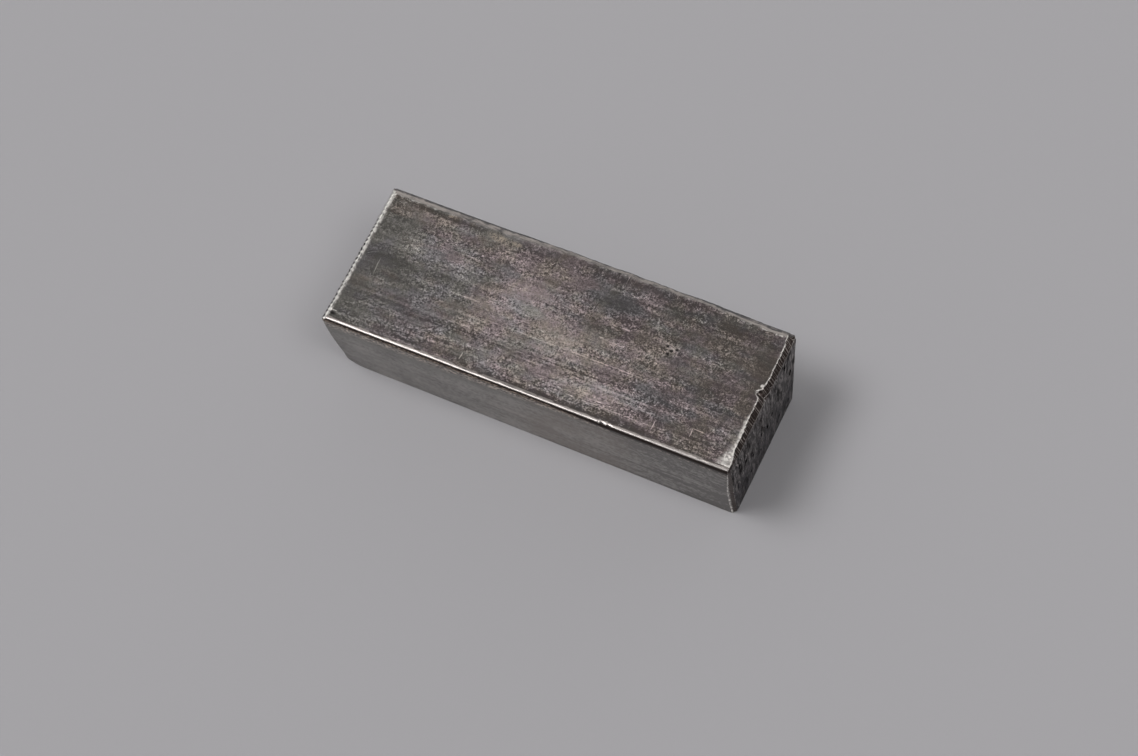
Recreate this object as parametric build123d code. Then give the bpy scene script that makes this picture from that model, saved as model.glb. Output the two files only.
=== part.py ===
from build123d import *
import os
from math import cos, radians, sin, tan

# Driving dimensions of the cast bar, in millimetres and degrees. X runs along
# the bar, Y across it and Z up from the narrow face that it lies on. The bar
# was poured in an open mould with sloping walls, so it is widest at the top.
top_length = 50.0
top_width = 18.7
height = 13.1
side_draft = 6.5
end_draft = 2.1

# The four long edges. The front one is rubbed round, the back one is scraped
# to a bevel, and the two at the foot keep the round of the mould.
front_edge_radius = 0.7
back_bevel_across = 0.95
back_bevel_down = 0.5
foot_edge_radius = 0.5

# The left end: a light bevel round its edge, and a heavy round at its foot.
left_bevel_in = 0.3
left_bevel_along = 0.45
left_foot_radius = 2.4

# The right end: sawn off, then filed to a broad bevel round its whole edge.
right_bevel_in = 0.62
right_bevel_along = 0.68

# Knocks, each one a round bite out of a top edge. Its place is a share of
# that edge, counted from the front or from the left end.
end_chip_length = 2.2
end_chip_depth = 0.4
end_chip_share = 0.6
corner_chip_length = 1.6
corner_chip_depth = 0.25
corner_chip_share = 0.07
nick_length = 0.5
nick_depth = 0.12
nick_shares = [0.689, 0.702]

# Sizes that follow from the ones above.
side_inset = height * tan(radians(side_draft))
end_inset = height * tan(radians(end_draft))
bottom_width = top_width - 2 * side_inset
bottom_length = top_length - 2 * end_inset
block_size = 2 * top_length


def sharp_section():
    # The plain trapezoid seen when the bar is cut across.
    return make_face(
        Polyline(
            (-bottom_width / 2, 0),
            (bottom_width / 2, 0),
            (top_width / 2, height),
            (-top_width / 2, height),
            close=True,
        )
    )


def dressed_section():
    # The same trapezoid with the round or bevel of every long edge on it.
    section = sharp_section()
    front_top = section.vertices().group_by(Axis.Y)[-1].sort_by(Axis.X)[0]
    section = fillet(front_top, front_edge_radius)
    foot_corners = section.vertices().group_by(Axis.Y)[0]
    section = fillet(foot_corners, foot_edge_radius)
    # The scraped bevel takes a narrow triangle off the back top corner.
    wall_in = back_bevel_down * tan(radians(side_draft))
    bevel = make_face(
        Polyline(
            (top_width / 2 - back_bevel_across, height),
            (top_width / 2, height),
            (top_width / 2 - wall_in, height - back_bevel_down),
            close=True,
        )
    )
    return section - bevel


def long_outline():
    # The bar seen from the front, both ends leaning in towards the foot, with
    # the heavy round at the foot of the left one.
    outline = make_face(
        Polyline(
            (-bottom_length / 2, 0),
            (bottom_length / 2, 0),
            (top_length / 2, height),
            (-top_length / 2, height),
            close=True,
        )
    )
    left_foot = outline.vertices().group_by(Axis.Y)[0].sort_by(Axis.X)[0]
    return fillet(left_foot, left_foot_radius)


def cast_bar():
    # The two drawings run out to solids, and what lies inside both of them.
    half_length = top_length / 2
    half_width = top_width / 2
    across = Pos(-half_length, 0, 0) * extrude(
        Plane.YZ * dressed_section(), amount=top_length
    )
    along = Pos(0, half_width, 0) * extrude(
        Plane.XZ * long_outline(), amount=top_width
    )
    return across & along


def outer_block(point, outward):
    # A large block on the outer side of the plane through the point.
    block = Pos(0, 0, block_size / 2) * Box(block_size, block_size, block_size)
    return Plane(origin=point, z_dir=outward) * block


def end_bevels(side, walls, bevel_in, bevel_along):
    # The blocks that take one bevel each off the edges of an end face. Each
    # wall is given as a point of its edge and the way that it faces.
    lean = radians(end_draft)
    end_way = Vector(side * cos(lean), 0, -sin(lean))
    return [
        outer_block(point - way * bevel_in, end_way / bevel_along + way / bevel_in)
        for point, way in walls
    ]


def end_walls(side):
    # The top and the two side walls where they meet one end.
    lean = radians(side_draft)
    half_length = side * top_length / 2
    half_width = top_width / 2
    return [
        (Vector(half_length, 0, height), Vector(0, 0, 1)),
        (Vector(half_length, -half_width, height), Vector(0, -cos(lean), -sin(lean))),
        (Vector(half_length, half_width, height), Vector(0, cos(lean), -sin(lean))),
    ]


def foot_wall(side):
    # The foot where it meets one end.
    return [(Vector(side * bottom_length / 2, 0, 0), Vector(0, 0, -1))]


def trimmed_bar():
    # The bar with the filed right end and the lightly bevelled left end.
    bar = cast_bar()
    filed = end_bevels(1, end_walls(1) + foot_wall(1), right_bevel_in, right_bevel_along)
    light = end_bevels(-1, end_walls(-1), left_bevel_in, left_bevel_along)
    for block in filed + light:
        bar = bar - block
    return bar


def knock(point, outward, length, depth):
    # A ball that bites this length and depth out of the edge at the point.
    radius = (length**2 / 4 + depth**2) / (2 * depth)
    centre = point + outward.normalized() * (radius - depth)
    return Pos(centre) * Sphere(radius)


def end_edge_knocks():
    # The chip and the rubbed corner on the bevel's top line at the right end.
    edge_x = top_length / 2 - right_bevel_along
    run = top_width - 2 * right_bevel_in
    outward = Vector(right_bevel_in, 0, right_bevel_in + right_bevel_along)
    chip_at = Vector(edge_x, run * (end_chip_share - 1 / 2), height)
    corner_at = Vector(edge_x, run * (corner_chip_share - 1 / 2), height)
    return [
        knock(chip_at, outward, end_chip_length, end_chip_depth),
        knock(corner_at, outward, corner_chip_length, corner_chip_depth),
    ]


def front_nicks():
    # The pair of small nicks in the round of the front top edge.
    centre_y = -top_width / 2 + front_edge_radius
    outward = Vector(0, -1, 1)
    nicks = []
    for share in nick_shares:
        middle = Vector(top_length * (share - 1 / 2), centre_y, height - front_edge_radius)
        on_round = middle + outward.normalized() * front_edge_radius
        nicks.append(knock(on_round, outward, nick_length, nick_depth))
    return nicks


def knocked_bar():
    # The trimmed bar with every knock taken out of it.
    bar = trimmed_bar()
    for bite in end_edge_knocks() + front_nicks():
        bar = bar - bite
    return bar


result = knocked_bar()
os.makedirs("parts", exist_ok=True)
export_step(result, "parts/ingot.step")
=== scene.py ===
"""A small cast metal bar, tarnished dark and worn bright along its edges, on pale paper."""
import logging
import math
from abc import ABC, abstractmethod
from dataclasses import dataclass
from enum import Enum
from functools import reduce

import bpy
import numpy as np
from mathutils import Matrix, Vector


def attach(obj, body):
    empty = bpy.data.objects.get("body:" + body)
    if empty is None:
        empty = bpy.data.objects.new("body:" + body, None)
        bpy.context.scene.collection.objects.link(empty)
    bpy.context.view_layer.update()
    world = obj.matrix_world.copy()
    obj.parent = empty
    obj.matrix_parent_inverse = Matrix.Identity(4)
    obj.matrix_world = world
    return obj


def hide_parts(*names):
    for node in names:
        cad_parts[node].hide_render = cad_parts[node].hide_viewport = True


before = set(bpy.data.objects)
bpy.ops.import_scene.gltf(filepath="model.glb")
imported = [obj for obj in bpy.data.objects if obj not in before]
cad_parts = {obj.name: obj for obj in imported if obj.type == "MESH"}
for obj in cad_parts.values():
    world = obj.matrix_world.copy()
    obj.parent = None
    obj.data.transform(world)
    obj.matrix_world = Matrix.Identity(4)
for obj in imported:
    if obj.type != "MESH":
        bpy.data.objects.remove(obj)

log = logging.getLogger("ingot")

MM = 0.001  # metres in a millimetre
NODE = "ingot"
PLACE = "place_on_bar"
HAIR = 1e-6  # a length in millimetres that is as good as none
TINY_SHARE = 1e-4  # keeps a sum that is divided by away from 0
NICK_PITCH = 0.62  # from one nick of the left ridge to the next, in millimetres

Socket = bpy.types.NodeSocket
Level = float | Socket
Triple = tuple[float, float, float]
Ramp = tuple[float, ...]  # where a change starts and ends, and the two results there

WHITE: Triple = (1.0, 1.0, 1.0)
BLACK: Triple = (0.0, 0.0, 0.0)
LENGTHWAYS: Triple = (1.0, 0.0, 0.0)
CROSSWAYS: Triple = (0.0, 1.0, 1.0)


class Wall(Enum):
    """The six walls of the bar, named as one stands in front of it."""

    TOP = 0
    FOOT = 1
    FRONT = 2
    BACK = 3
    LEFT = 4
    RIGHT = 5


class Zone(Enum):
    """The parts of the surface that were finished or worn in their own way."""

    TOP = 0
    SIDE = 1
    SAWN_END = 2
    FILED_BEVEL = 3
    FRONT_ROUND = 4
    BACK_BEVEL = 5
    LEFT_BEVEL = 6


class EdgeForm(Enum):
    """How an edge was dressed: the power of the curve that its section follows.

    A bevel is flat and a round is an arc. A rolled edge turns gently beside both walls and
    tightly in the middle.
    """

    BEVEL = 1.0
    ROUND = 2.0
    ROLLED = 3.0


@dataclass(frozen=True)
class EdgeDress:
    """The dressing of one edge, where wall A meets wall B. Lengths are in millimetres.

    Where the band wanders on wall A, wall B takes a share of the same drift.
    """

    form: EdgeForm
    on_a: float | np.ndarray
    on_b: float | np.ndarray
    drift_share_on_b: float = 0.6

    def wandering(self, drift: np.ndarray) -> "EdgeDress":
        """Return the same dressing with its band made wider or narrower from place to place."""
        return EdgeDress(self.form, self.on_a + drift, self.on_b + drift * self.drift_share_on_b)


@dataclass(frozen=True)
class Bite:
    """A small hollow knocked or eaten into the bar. Lengths are in millimetres."""

    centre: Triple
    reach: float
    depth: float
    stretch: Triple = (1.0, 1.0, 1.0)

    def hollow(self, points: np.ndarray) -> np.ndarray:
        """Tell how deep the hollow is.

        Args:
            points: places on the plain box, in millimetres.

        Returns:
            The depth at each place in millimetres, 0 outside the hollow.
        """
        away = np.linalg.norm((points - np.array(self.centre)) / np.array(self.stretch), axis=1)
        share = np.clip(1.0 - (away / self.reach) ** 2, 0.0, 1.0)
        return self.depth * share * share * (3.0 - 2.0 * share)


@dataclass(frozen=True)
class Mark:
    """A patch, a streak, a scratch or a pit on a flat wall: an ellipse in millimetres.

    Tone is what the mark adds at its middle. In the wear of the top it is above 0 where the
    metal is worn bright and below 0 where it is dark. Core is the share of the ellipse that
    has the full tone, and turn is in degrees.
    """

    x: float
    y: float
    half_long: float
    half_wide: float
    tone: float
    turn: float = 0.0
    core: float = 0.0


def smooth_step(low: float, high: float, value: np.ndarray) -> np.ndarray:
    """Rise smoothly from 0 at low to 1 at high.

    Args:
        low: where the rise starts.
        high: where the rise ends.
        value: the places to read.

    Returns:
        The height of the rise at each place.
    """
    share = np.clip((value - low) / (high - low), 0.0, 1.0)
    return share * share * (3.0 - 2.0 * share)


CORNER_PRIMES = np.array([73856093, 19349663, 83492791])
SEED_PRIME = 2654435761
FIRST_MIX, SECOND_MIX = 1274126177, 668265263
LOW_BITS, HALF_RANGE = 0x7FFFFFFF, 0x3FFFFFFF


def lattice_noise(points: np.ndarray, seed: int) -> np.ndarray:
    """Read smooth noise with cells of size 1, from a hash of the lattice corners.

    Args:
        points: places, one row of three numbers each.
        seed: picks one of many different noises.

    Returns:
        A value from -1 to 1 at each place.
    """
    cell = np.floor(points).astype(np.int64)
    share = points - cell
    blend = share * share * share * (share * (share * 6.0 - 15.0) + 10.0)
    total = np.zeros(len(points))
    for corner in np.ndindex(2, 2, 2):
        spot = cell + np.array(corner)
        key = (spot @ CORNER_PRIMES) ^ (seed * SEED_PRIME)
        key = (key ^ (key >> 13)) * FIRST_MIX & LOW_BITS
        key = (key ^ (key >> 16)) * SECOND_MIX & LOW_BITS
        value = key / HALF_RANGE - 1.0
        weight = np.prod(np.where(corner, blend, 1.0 - blend), axis=1)
        total += weight * value
    return total


def layered_noise(points: np.ndarray, pitch: float, seed: int, layers: int = 3) -> np.ndarray:
    """Add up noise of finer and finer pitch.

    Args:
        points: places in millimetres.
        pitch: size of the coarsest waves, in millimetres.
        seed: picks one of many different noises.
        layers: how many pitches are added, each half the last.

    Returns:
        A value of about -1 to 1 at each place.
    """
    total = np.zeros(len(points))
    for layer in range(layers):
        total += lattice_noise(points * (2.0**layer / pitch), seed + layer) / 2.0**layer
    return total


@dataclass(frozen=True)
class Waves:
    """Uneven waves in the metal, as deep as depth and about pitch long, in millimetres.

    Seed picks one of many different waves. Scale is what the places are multiplied by
    before the waves are read, so a number below 1 draws them out.
    """

    depth: float
    pitch: float
    seed: int
    layers: int = 3
    scale: Triple = (1.0, 1.0, 1.0)

    def at(self, places: np.ndarray) -> np.ndarray:
        """Give the height of the waves at each place, in millimetres."""
        return self.depth * layered_noise(places * np.array(self.scale), self.pitch, self.seed, self.layers)


@dataclass(frozen=True)
class Swell:
    """A change that comes in smoothly from one place to another, in millimetres."""

    amount: float
    start: float
    end: float

    def at(self, where: np.ndarray) -> np.ndarray:
        """Give the change at each place."""
        return self.amount * smooth_step(self.start, self.end, where)


@dataclass(frozen=True)
class StationPlan:
    """Where the grid lines cross one direction of the bar, in millimetres."""

    length: float
    first_band: float
    last_band: float
    band_steps: int
    count: int
    beside_ridge: float = 0.07

    def lines(self) -> np.ndarray:
        """Place the grid lines, close together on both edge bands.

        Returns:
            The lines from 0 to the length, in millimetres.
        """
        first = np.linspace(0.0, self.first_band, self.band_steps + 1)
        last = np.linspace(self.length - self.last_band, self.length, self.band_steps + 1)
        inner_low = self.first_band + self.beside_ridge
        inner_high = self.length - self.last_band - self.beside_ridge
        inner_count = self.count - 2 * self.band_steps - 1
        inner = np.linspace(inner_low, inner_high, inner_count)
        return np.concatenate([first, inner, last])


@dataclass(frozen=True)
class BarForm:
    """The sizes of the bar in millimetres and degrees, as it was cast and then dressed."""

    length: float = 50.0
    width: float = 18.7
    height: float = 13.1
    back_draft: float = 6.5
    front_draft: float = 6.35
    front_twist: float = 0.04
    left_draft: float = 2.1
    right_draft: float = 1.45
    left_bulge: float = 0.3
    bulge_height: float = 10.0
    bulge_share: Ramp = (0.5, 1.0)
    front_top: EdgeDress = EdgeDress(EdgeForm.ROLLED, 0.71, 0.71)
    back_top: EdgeDress = EdgeDress(EdgeForm.BEVEL, 0.95, 0.5)
    foot_long: EdgeDress = EdgeDress(EdgeForm.ROUND, 0.12, 0.12)
    right_end: EdgeDress = EdgeDress(EdgeForm.BEVEL, 0.58, 0.64)
    right_foot: EdgeDress = EdgeDress(EdgeForm.BEVEL, 0.14, 0.12)
    right_back: EdgeDress = EdgeDress(EdgeForm.BEVEL, 0.3, 0.25)
    left_end: EdgeDress = EdgeDress(EdgeForm.BEVEL, 0.45, 0.3)
    left_upright: EdgeDress = EdgeDress(EdgeForm.BEVEL, 0.22, 0.16)
    left_foot: EdgeDress = EdgeDress(EdgeForm.ROUND, 2.4, 2.4)


def dress_corner(
    from_b: np.ndarray, from_a: np.ndarray, dress: EdgeDress
) -> tuple[np.ndarray, np.ndarray]:
    """Press the square corner between two walls into its round or bevel.

    Args:
        from_b: how far along wall A each point lies from wall B, in millimetres.
        from_a: how far along wall B each point lies from wall A, in millimetres.
        dress: the edge's dressing, whose band reaches on_a along A and on_b along B.

    Returns:
        The two distances after dressing.
    """
    across = 1.0 - from_b / dress.on_a
    down = 1.0 - from_a / dress.on_b
    inside = (across > 0.0) & (down > 0.0)
    across = np.where(inside, across, 0.5)
    down = np.where(inside, down, 0.5)
    power = dress.form.value
    rim = np.maximum(across, down)
    size = (across**power + down**power) ** (1.0 / power)
    new_b = dress.on_a * (1.0 - across * rim / size)
    new_a = dress.on_b * (1.0 - down * rim / size)
    return np.where(inside, new_b, from_b), np.where(inside, new_a, from_a)


def slide_band(distance: np.ndarray, band: float, drift: np.ndarray, reach: float = 2.2) -> np.ndarray:
    """Move the grid lines of an edge band so that its ridge lies drift further in.

    Args:
        distance: how far each point lies from the edge, in millimetres.
        band: the band's plain width.
        drift: how much wider the band is at each point.
        reach: how far in from the edge lines are moved at all.

    Returns:
        The new distances from the edge.
    """
    in_band = distance * (band + drift) / band
    beyond = distance + drift * (1.0 - smooth_step(band, reach, distance))
    return np.where(distance <= band, in_band, np.where(distance < reach, beyond, distance))


@dataclass
class IngotSkin:
    """The whole surface of the bar as one closed grid, with its relief and its wear."""

    form: BarForm
    steps_along: int = 238
    steps_across: int = 128
    steps_up: int = 52
    band_steps: tuple[int, int, int] = (4, 6, 5)
    seed: int = 7
    chip_y: float = 0.9
    chip_half: float = 0.42
    chip_width: float = 0.5
    beside_chip: Swell = Swell(0.12, 2.6, 1.8)
    beside_chip_start: Swell = Swell(1.0, -5.0, -1.0)
    right_at_back: Swell = Swell(0.3, 7.0, 9.0)
    right_at_front: Swell = Swell(-0.40, -5.6, -8.8)
    right_near_top: Swell = Swell(1.0, 3.0, 0.5)
    right_turns_down: Swell = Swell(1.0, -7.2, -8.9)
    upright_width: float = 0.02
    upright_high: Swell = Swell(-0.38, 6.0, 12.6)
    upright_low: Swell = Swell(-0.1, 3.5, 0.5)
    back_narrow: Swell = Swell(-0.32, -10.0, -3.0)
    back_narrow_end: Swell = Swell(1.0, 22.0, 15.0)
    pit_count: int = 70
    round_waves: Waves = Waves(0.03, 2.6, 7, 2, LENGTHWAYS)
    back_waves: Waves = Waves(0.05, 2.2, 17, 3, LENGTHWAYS)
    back_nibbles: Waves = Waves(0.03, 0.45, 21, 1, LENGTHWAYS)
    right_waves: Waves = Waves(0.035, 1.3, 27, 3, CROSSWAYS)
    left_waves: Waves = Waves(0.02, 1.1, 37, 3, CROSSWAYS)
    cast_waves: Waves = Waves(0.012, 7.5, 47, 2)
    top_waves: Waves = Waves(0.004, 1.3, 57, 2)
    top_rows: Waves = Waves(0.003, 0.9, 67, 2, (0.06, 1.0, 1.0))
    towards_front: Swell = Swell(1.0, -2.0, -5.5)
    top_rows_at_front: Waves = Waves(0.005, 0.9, 67, 2, (0.06, 1.0, 1.0))
    front_rows: Waves = Waves(0.003, 1.1, 72, 2, (0.06, 1.0, 1.0))
    sawn_waves: Waves = Waves(0.022, 0.9, 77, 3, (1.0, 1.0, 0.45))
    above_foot: Swell = Swell(1.0, 0.05, 0.4)

    def build(self) -> bpy.types.Object:
        """Make the skin's mesh, with each quad in its zone and the places kept.

        Returns:
            The skin's object, in place of the bar's own solid.
        """
        places, quads, walls = self.box_grid()
        points = self.dressed(places)
        points = self.worn(points, places, quads)
        mesh = bpy.data.meshes.new("ingot_skin")
        mesh.from_pydata((points * MM).tolist(), [], quads.tolist())
        mesh.polygons.foreach_set("use_smooth", np.ones(len(quads), dtype=bool))
        mesh.polygons.foreach_set("material_index", self.zones(places, quads, walls))
        kept = mesh.attributes.new(PLACE, "FLOAT_VECTOR", "POINT")
        kept.data.foreach_set("vector", places.astype(np.float32).ravel())
        mesh.update()
        skin = bpy.data.objects.new("ingot_skin", mesh)
        bpy.context.scene.collection.objects.link(skin)
        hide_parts(NODE)
        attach(skin, "root")
        return skin

    def box_grid(self) -> tuple[np.ndarray, np.ndarray, np.ndarray]:
        """Lay a grid of quads over a plain box of the bar's overall size.

        Returns:
            The points in millimetres, the quads as rows of four point numbers, and
            the wall that each quad lies on.
        """
        form = self.form
        bands = (
            (form.length, form.left_end.on_a, form.right_end.on_a),
            (form.width, form.front_top.on_a, form.back_top.on_a),
            (form.height, form.foot_long.on_a, form.front_top.on_b),
        )
        counts = (self.steps_along, self.steps_across, self.steps_up)
        along, across, upward = (
            StationPlan(*band, steps, count) for band, steps, count in zip(bands, self.band_steps, counts)
        )
        xs = along.lines() - form.length / 2
        ys = across.lines() - form.width / 2
        zs = upward.lines()
        shape = (len(xs), len(ys), len(zs))
        on_skin = np.ones(shape, dtype=bool)
        on_skin[1:-1, 1:-1, 1:-1] = False
        number = np.full(shape, -1, dtype=np.int64)
        number[on_skin] = np.arange(on_skin.sum())
        spots = np.argwhere(on_skin)
        points = np.column_stack([xs[spots[:, 0]], ys[spots[:, 1]], zs[spots[:, 2]]])
        sheets = {
            Wall.TOP: number[:, :, -1],
            Wall.FOOT: number[:, :, 0].T,
            Wall.FRONT: number[:, 0, :],
            Wall.BACK: number[:, -1, :].T,
            Wall.LEFT: number[0, :, :].T,
            Wall.RIGHT: number[-1, :, :],
        }
        quads, walls = [], []
        for wall, sheet in sheets.items():
            ring = [sheet[:-1, :-1], sheet[1:, :-1], sheet[1:, 1:], sheet[:-1, 1:]]
            rows = np.stack(ring, axis=-1).reshape(-1, 4)
            quads.append(rows)
            walls.append(np.full(len(rows), wall.value))
        return points, np.concatenate(quads), np.concatenate(walls)

    def dressed(self, places: np.ndarray) -> np.ndarray:
        """Give the plain box its rounds, bevels and sloping walls.

        Args:
            places: the box grid's points in millimetres.

        Returns:
            The points of the dressed bar in millimetres.
        """
        form = self.form
        half_length, half_width = form.length / 2, form.width / 2
        x, y, z = places.T.copy()
        round_drift, back_drift, right_drift, left_drift = self.drifts(places)
        front_top = form.front_top.wandering(round_drift)
        back_top = form.back_top.wandering(back_drift)
        right_end = form.right_end.wandering(right_drift)
        left_end = form.left_end.wandering(left_drift)
        y = slide_band(y + half_width, form.front_top.on_a, round_drift) - half_width
        y = half_width - slide_band(half_width - y, form.back_top.on_a, back_drift)
        x = half_length - slide_band(half_length - x, form.right_end.on_a, right_drift)
        x = slide_band(x + half_length, form.left_end.on_a, left_drift) - half_length
        front, top = dress_corner(y + half_width, form.height - z, front_top)
        y, z = front - half_width, form.height - top
        back, top = dress_corner(half_width - y, form.height - z, back_top)
        y, z = half_width - back, form.height - top
        front, z = dress_corner(y + half_width, z, form.foot_long)
        y = front - half_width
        back, z = dress_corner(half_width - y, z, form.foot_long)
        y = half_width - back
        right, top = dress_corner(half_length - x, form.height - z, right_end)
        x, z = half_length - right, form.height - top
        right, z = dress_corner(half_length - x, z, form.right_foot)
        x = half_length - right
        left, top = dress_corner(x + half_length, form.height - z, left_end)
        x, z = left - half_length, form.height - top
        left, z = dress_corner(x + half_length, z, form.left_foot)
        x = left - half_length
        uprights = (
            (right_end, 1.0, -1.0), (form.right_back, 1.0, 1.0),
            (form.left_upright, -1.0, -1.0), (form.left_upright, -1.0, 1.0),
        )
        for dress, end, side in uprights:
            from_end, from_side = dress_corner(half_length - end * x, half_width - side * y, dress)
            x, y = end * (half_length - from_end), side * (half_width - from_side)
        below_top = form.height - z
        side_draft = np.where(y < 0.0, form.front_draft - form.front_twist * x, form.back_draft)
        end_draft = np.where(x < 0.0, form.left_draft, form.right_draft)
        bulge = form.left_bulge * np.sin(np.clip(below_top / form.bulge_height, 0.0, 1.0) * math.pi)
        y = y * (1.0 - below_top * np.tan(np.radians(side_draft)) / half_width)
        x = x * (1.0 - below_top * np.tan(np.radians(end_draft)) / half_length)
        x = x - bulge * smooth_step(*form.bulge_share, -x / half_length)
        return np.column_stack([x, y, z])

    def drifts(self, places: np.ndarray) -> tuple[np.ndarray, np.ndarray, np.ndarray, np.ndarray]:
        """Say how much each edge band is wider than planned, from place to place.

        Args:
            places: the box grid's points in millimetres.

        Returns:
            The drift of the front round, the back bevel, the right end's bevel and the
            left end's, in millimetres.
        """
        x, y, z = places.T
        back_drift = self.back_waves.at(places) + self.back_nibbles.at(places)
        back_drift += self.back_narrow.at(x) * self.back_narrow_end.at(x)
        along_top = self.right_at_back.at(y) + self.right_at_front.at(y)
        along_top += self.beside_chip.at(y) * self.beside_chip_start.at(y)
        along_top += self.chip_width * np.exp(-(((y - self.chip_y) / self.chip_half) ** 2))
        along_top *= self.right_near_top.at(self.form.height - z)
        upright = self.upright_width + self.upright_high.at(z) + self.upright_low.at(z)
        at_front = self.right_turns_down.at(y)
        right_drift = along_top * (1.0 - at_front) + upright * at_front
        right_drift += self.right_waves.at(places)
        return self.round_waves.at(places), back_drift, right_drift, self.left_waves.at(places)

    def worn(self, points: np.ndarray, places: np.ndarray, quads: np.ndarray) -> np.ndarray:
        """Add the unevenness of the casting, the tool marks, the pits and the knocks.

        Args:
            points: the dressed bar's points in millimetres.
            places: the same points on the plain box.
            quads: the rows of four point numbers.

        Returns:
            The worn bar's points in millimetres.
        """
        form = self.form
        x, y, z = places.T
        outward = self.outward(points, quads)
        on_top = (z > form.height - HAIR).astype(float)
        on_right = (x > form.length / 2 - HAIR).astype(float)
        on_front = (y < -form.width / 2 + HAIR).astype(float)
        depth = self.cast_waves.depth + self.cast_waves.at(places)
        depth += on_top * (self.top_waves.at(places) + self.top_rows.at(places))
        depth += on_top * self.towards_front.at(y) * self.top_rows_at_front.at(places)
        depth += on_front * self.front_rows.at(places) + on_right * self.sawn_waves.at(places)
        for bite in self.bites():
            depth += bite.hollow(places)
        standing = self.above_foot.at(points[:, 2])
        worn = points - outward * (depth * standing)[:, None]
        worn[:, 2] = np.maximum(worn[:, 2], 0.0)
        return worn

    def bites(self) -> list[Bite]:
        """List the pits, knocks and file cuts that are deep enough to be real hollows.

        Returns:
            The hollows that were seen, then those drawn at random: the top's, the right
            end's and the nicks side by side along the left ridge.
        """
        form = self.form
        top, half_length, half_width = form.height, form.length / 2, form.width / 2
        chip_y = self.chip_y
        found = [
            Bite((half_length - 0.45, chip_y, top - 0.3), 0.5, 0.24),
            Bite((half_length, 5.9, top - 1.8), 0.42, 0.24, (1.0, 0.7, 1.5)),
            Bite((half_length, 5.0, top - 2.6), 0.38, 0.2, (1.0, 0.7, 1.5)),
            Bite((half_length, 3.7, top - 1.1), 0.42, 0.22, (1.0, 0.8, 1.3)),
            Bite((half_length, 2.3, top - 0.6), 0.36, 0.2, (1.0, 0.8, 1.3)),
            Bite((half_length, 7.7, top - 5.7), 0.4, 0.16, (1.0, 0.7, 2.0)),
            Bite((half_length, -7.35, top - 2.2), 0.45, 0.24, (1.0, 1.1, 0.9)),
            Bite((half_length, -6.6, top - 2.2), 0.4, 0.22, (1.0, 1.0, 1.2)),
            Bite((half_length, -4.6, top - 5.0), 0.4, 0.16, (1.0, 0.7, 2.0)),
            Bite((half_length, -3.6, top - 6.3), 0.4, 0.14, (1.0, 0.7, 2.0)),
            Bite((9.75, -half_width + 0.1, top - 0.05), 0.3, 0.09, (0.9, 1.5, 1.5)),
            Bite((10.5, -half_width + 0.1, top - 0.05), 0.26, 0.06, (0.9, 1.5, 1.5)),
            Bite((-half_length + 0.9, -half_width + 1.2, top), 0.5, 0.05, (1.1, 0.7, 1.0)),
            Bite((12.5, 2.35, top), 0.3, 0.05), Bite((13.1, 1.95, top), 0.34, 0.06),
            Bite((12.85, 1.5, top), 0.28, 0.05), Bite((13.6, 2.3, top), 0.27, 0.045),
            Bite((3.0, 3.8, top), 0.8, 0.03, (0.18, 1.0, 1.0)),
        ]
        draw = np.random.default_rng(self.seed)
        for _ in range(self.pit_count):
            spot = (draw.uniform(-23.5, 23.5), draw.uniform(-7.8, 7.8), top)
            wide = draw.uniform(0.8, 1.5)
            found.append(Bite(spot, draw.uniform(0.18, 0.42), draw.uniform(0.012, 0.035), (wide, 1.0, 1.0)))
        for _ in range(self.pit_count // 2):
            spot = (half_length, draw.uniform(-8.2, 8.2), draw.uniform(1.0, 12.2))
            tall = draw.uniform(1.0, 2.2)
            found.append(Bite(spot, draw.uniform(0.2, 0.42), draw.uniform(0.03, 0.1), (1.0, 0.9, tall)))
        for cut in np.arange(-6.9, 6.4, NICK_PITCH):
            spot = (-half_length, cut + draw.uniform(-0.14, 0.14), top - 0.12)
            deep = draw.uniform(0.05, 0.16) if cut < 3.6 else draw.uniform(0.02, 0.06)
            found.append(Bite(spot, draw.uniform(0.2, 0.32), deep, (1.3, 0.9, 1.6)))
        return found

    @staticmethod
    def outward(points: np.ndarray, quads: np.ndarray) -> np.ndarray:
        """Work out which way is out of the metal at each point.

        Args:
            points: the points in millimetres.
            quads: the rows of four point numbers.

        Returns:
            One direction of length 1 for each point.
        """
        first, second = points[quads[:, 2]] - points[quads[:, 0]], points[quads[:, 3]] - points[quads[:, 1]]
        across = np.cross(first, second)
        summed = np.zeros_like(points)
        for corner in range(4):
            np.add.at(summed, quads[:, corner], across)
        return summed / np.linalg.norm(summed, axis=1)[:, None]

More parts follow.
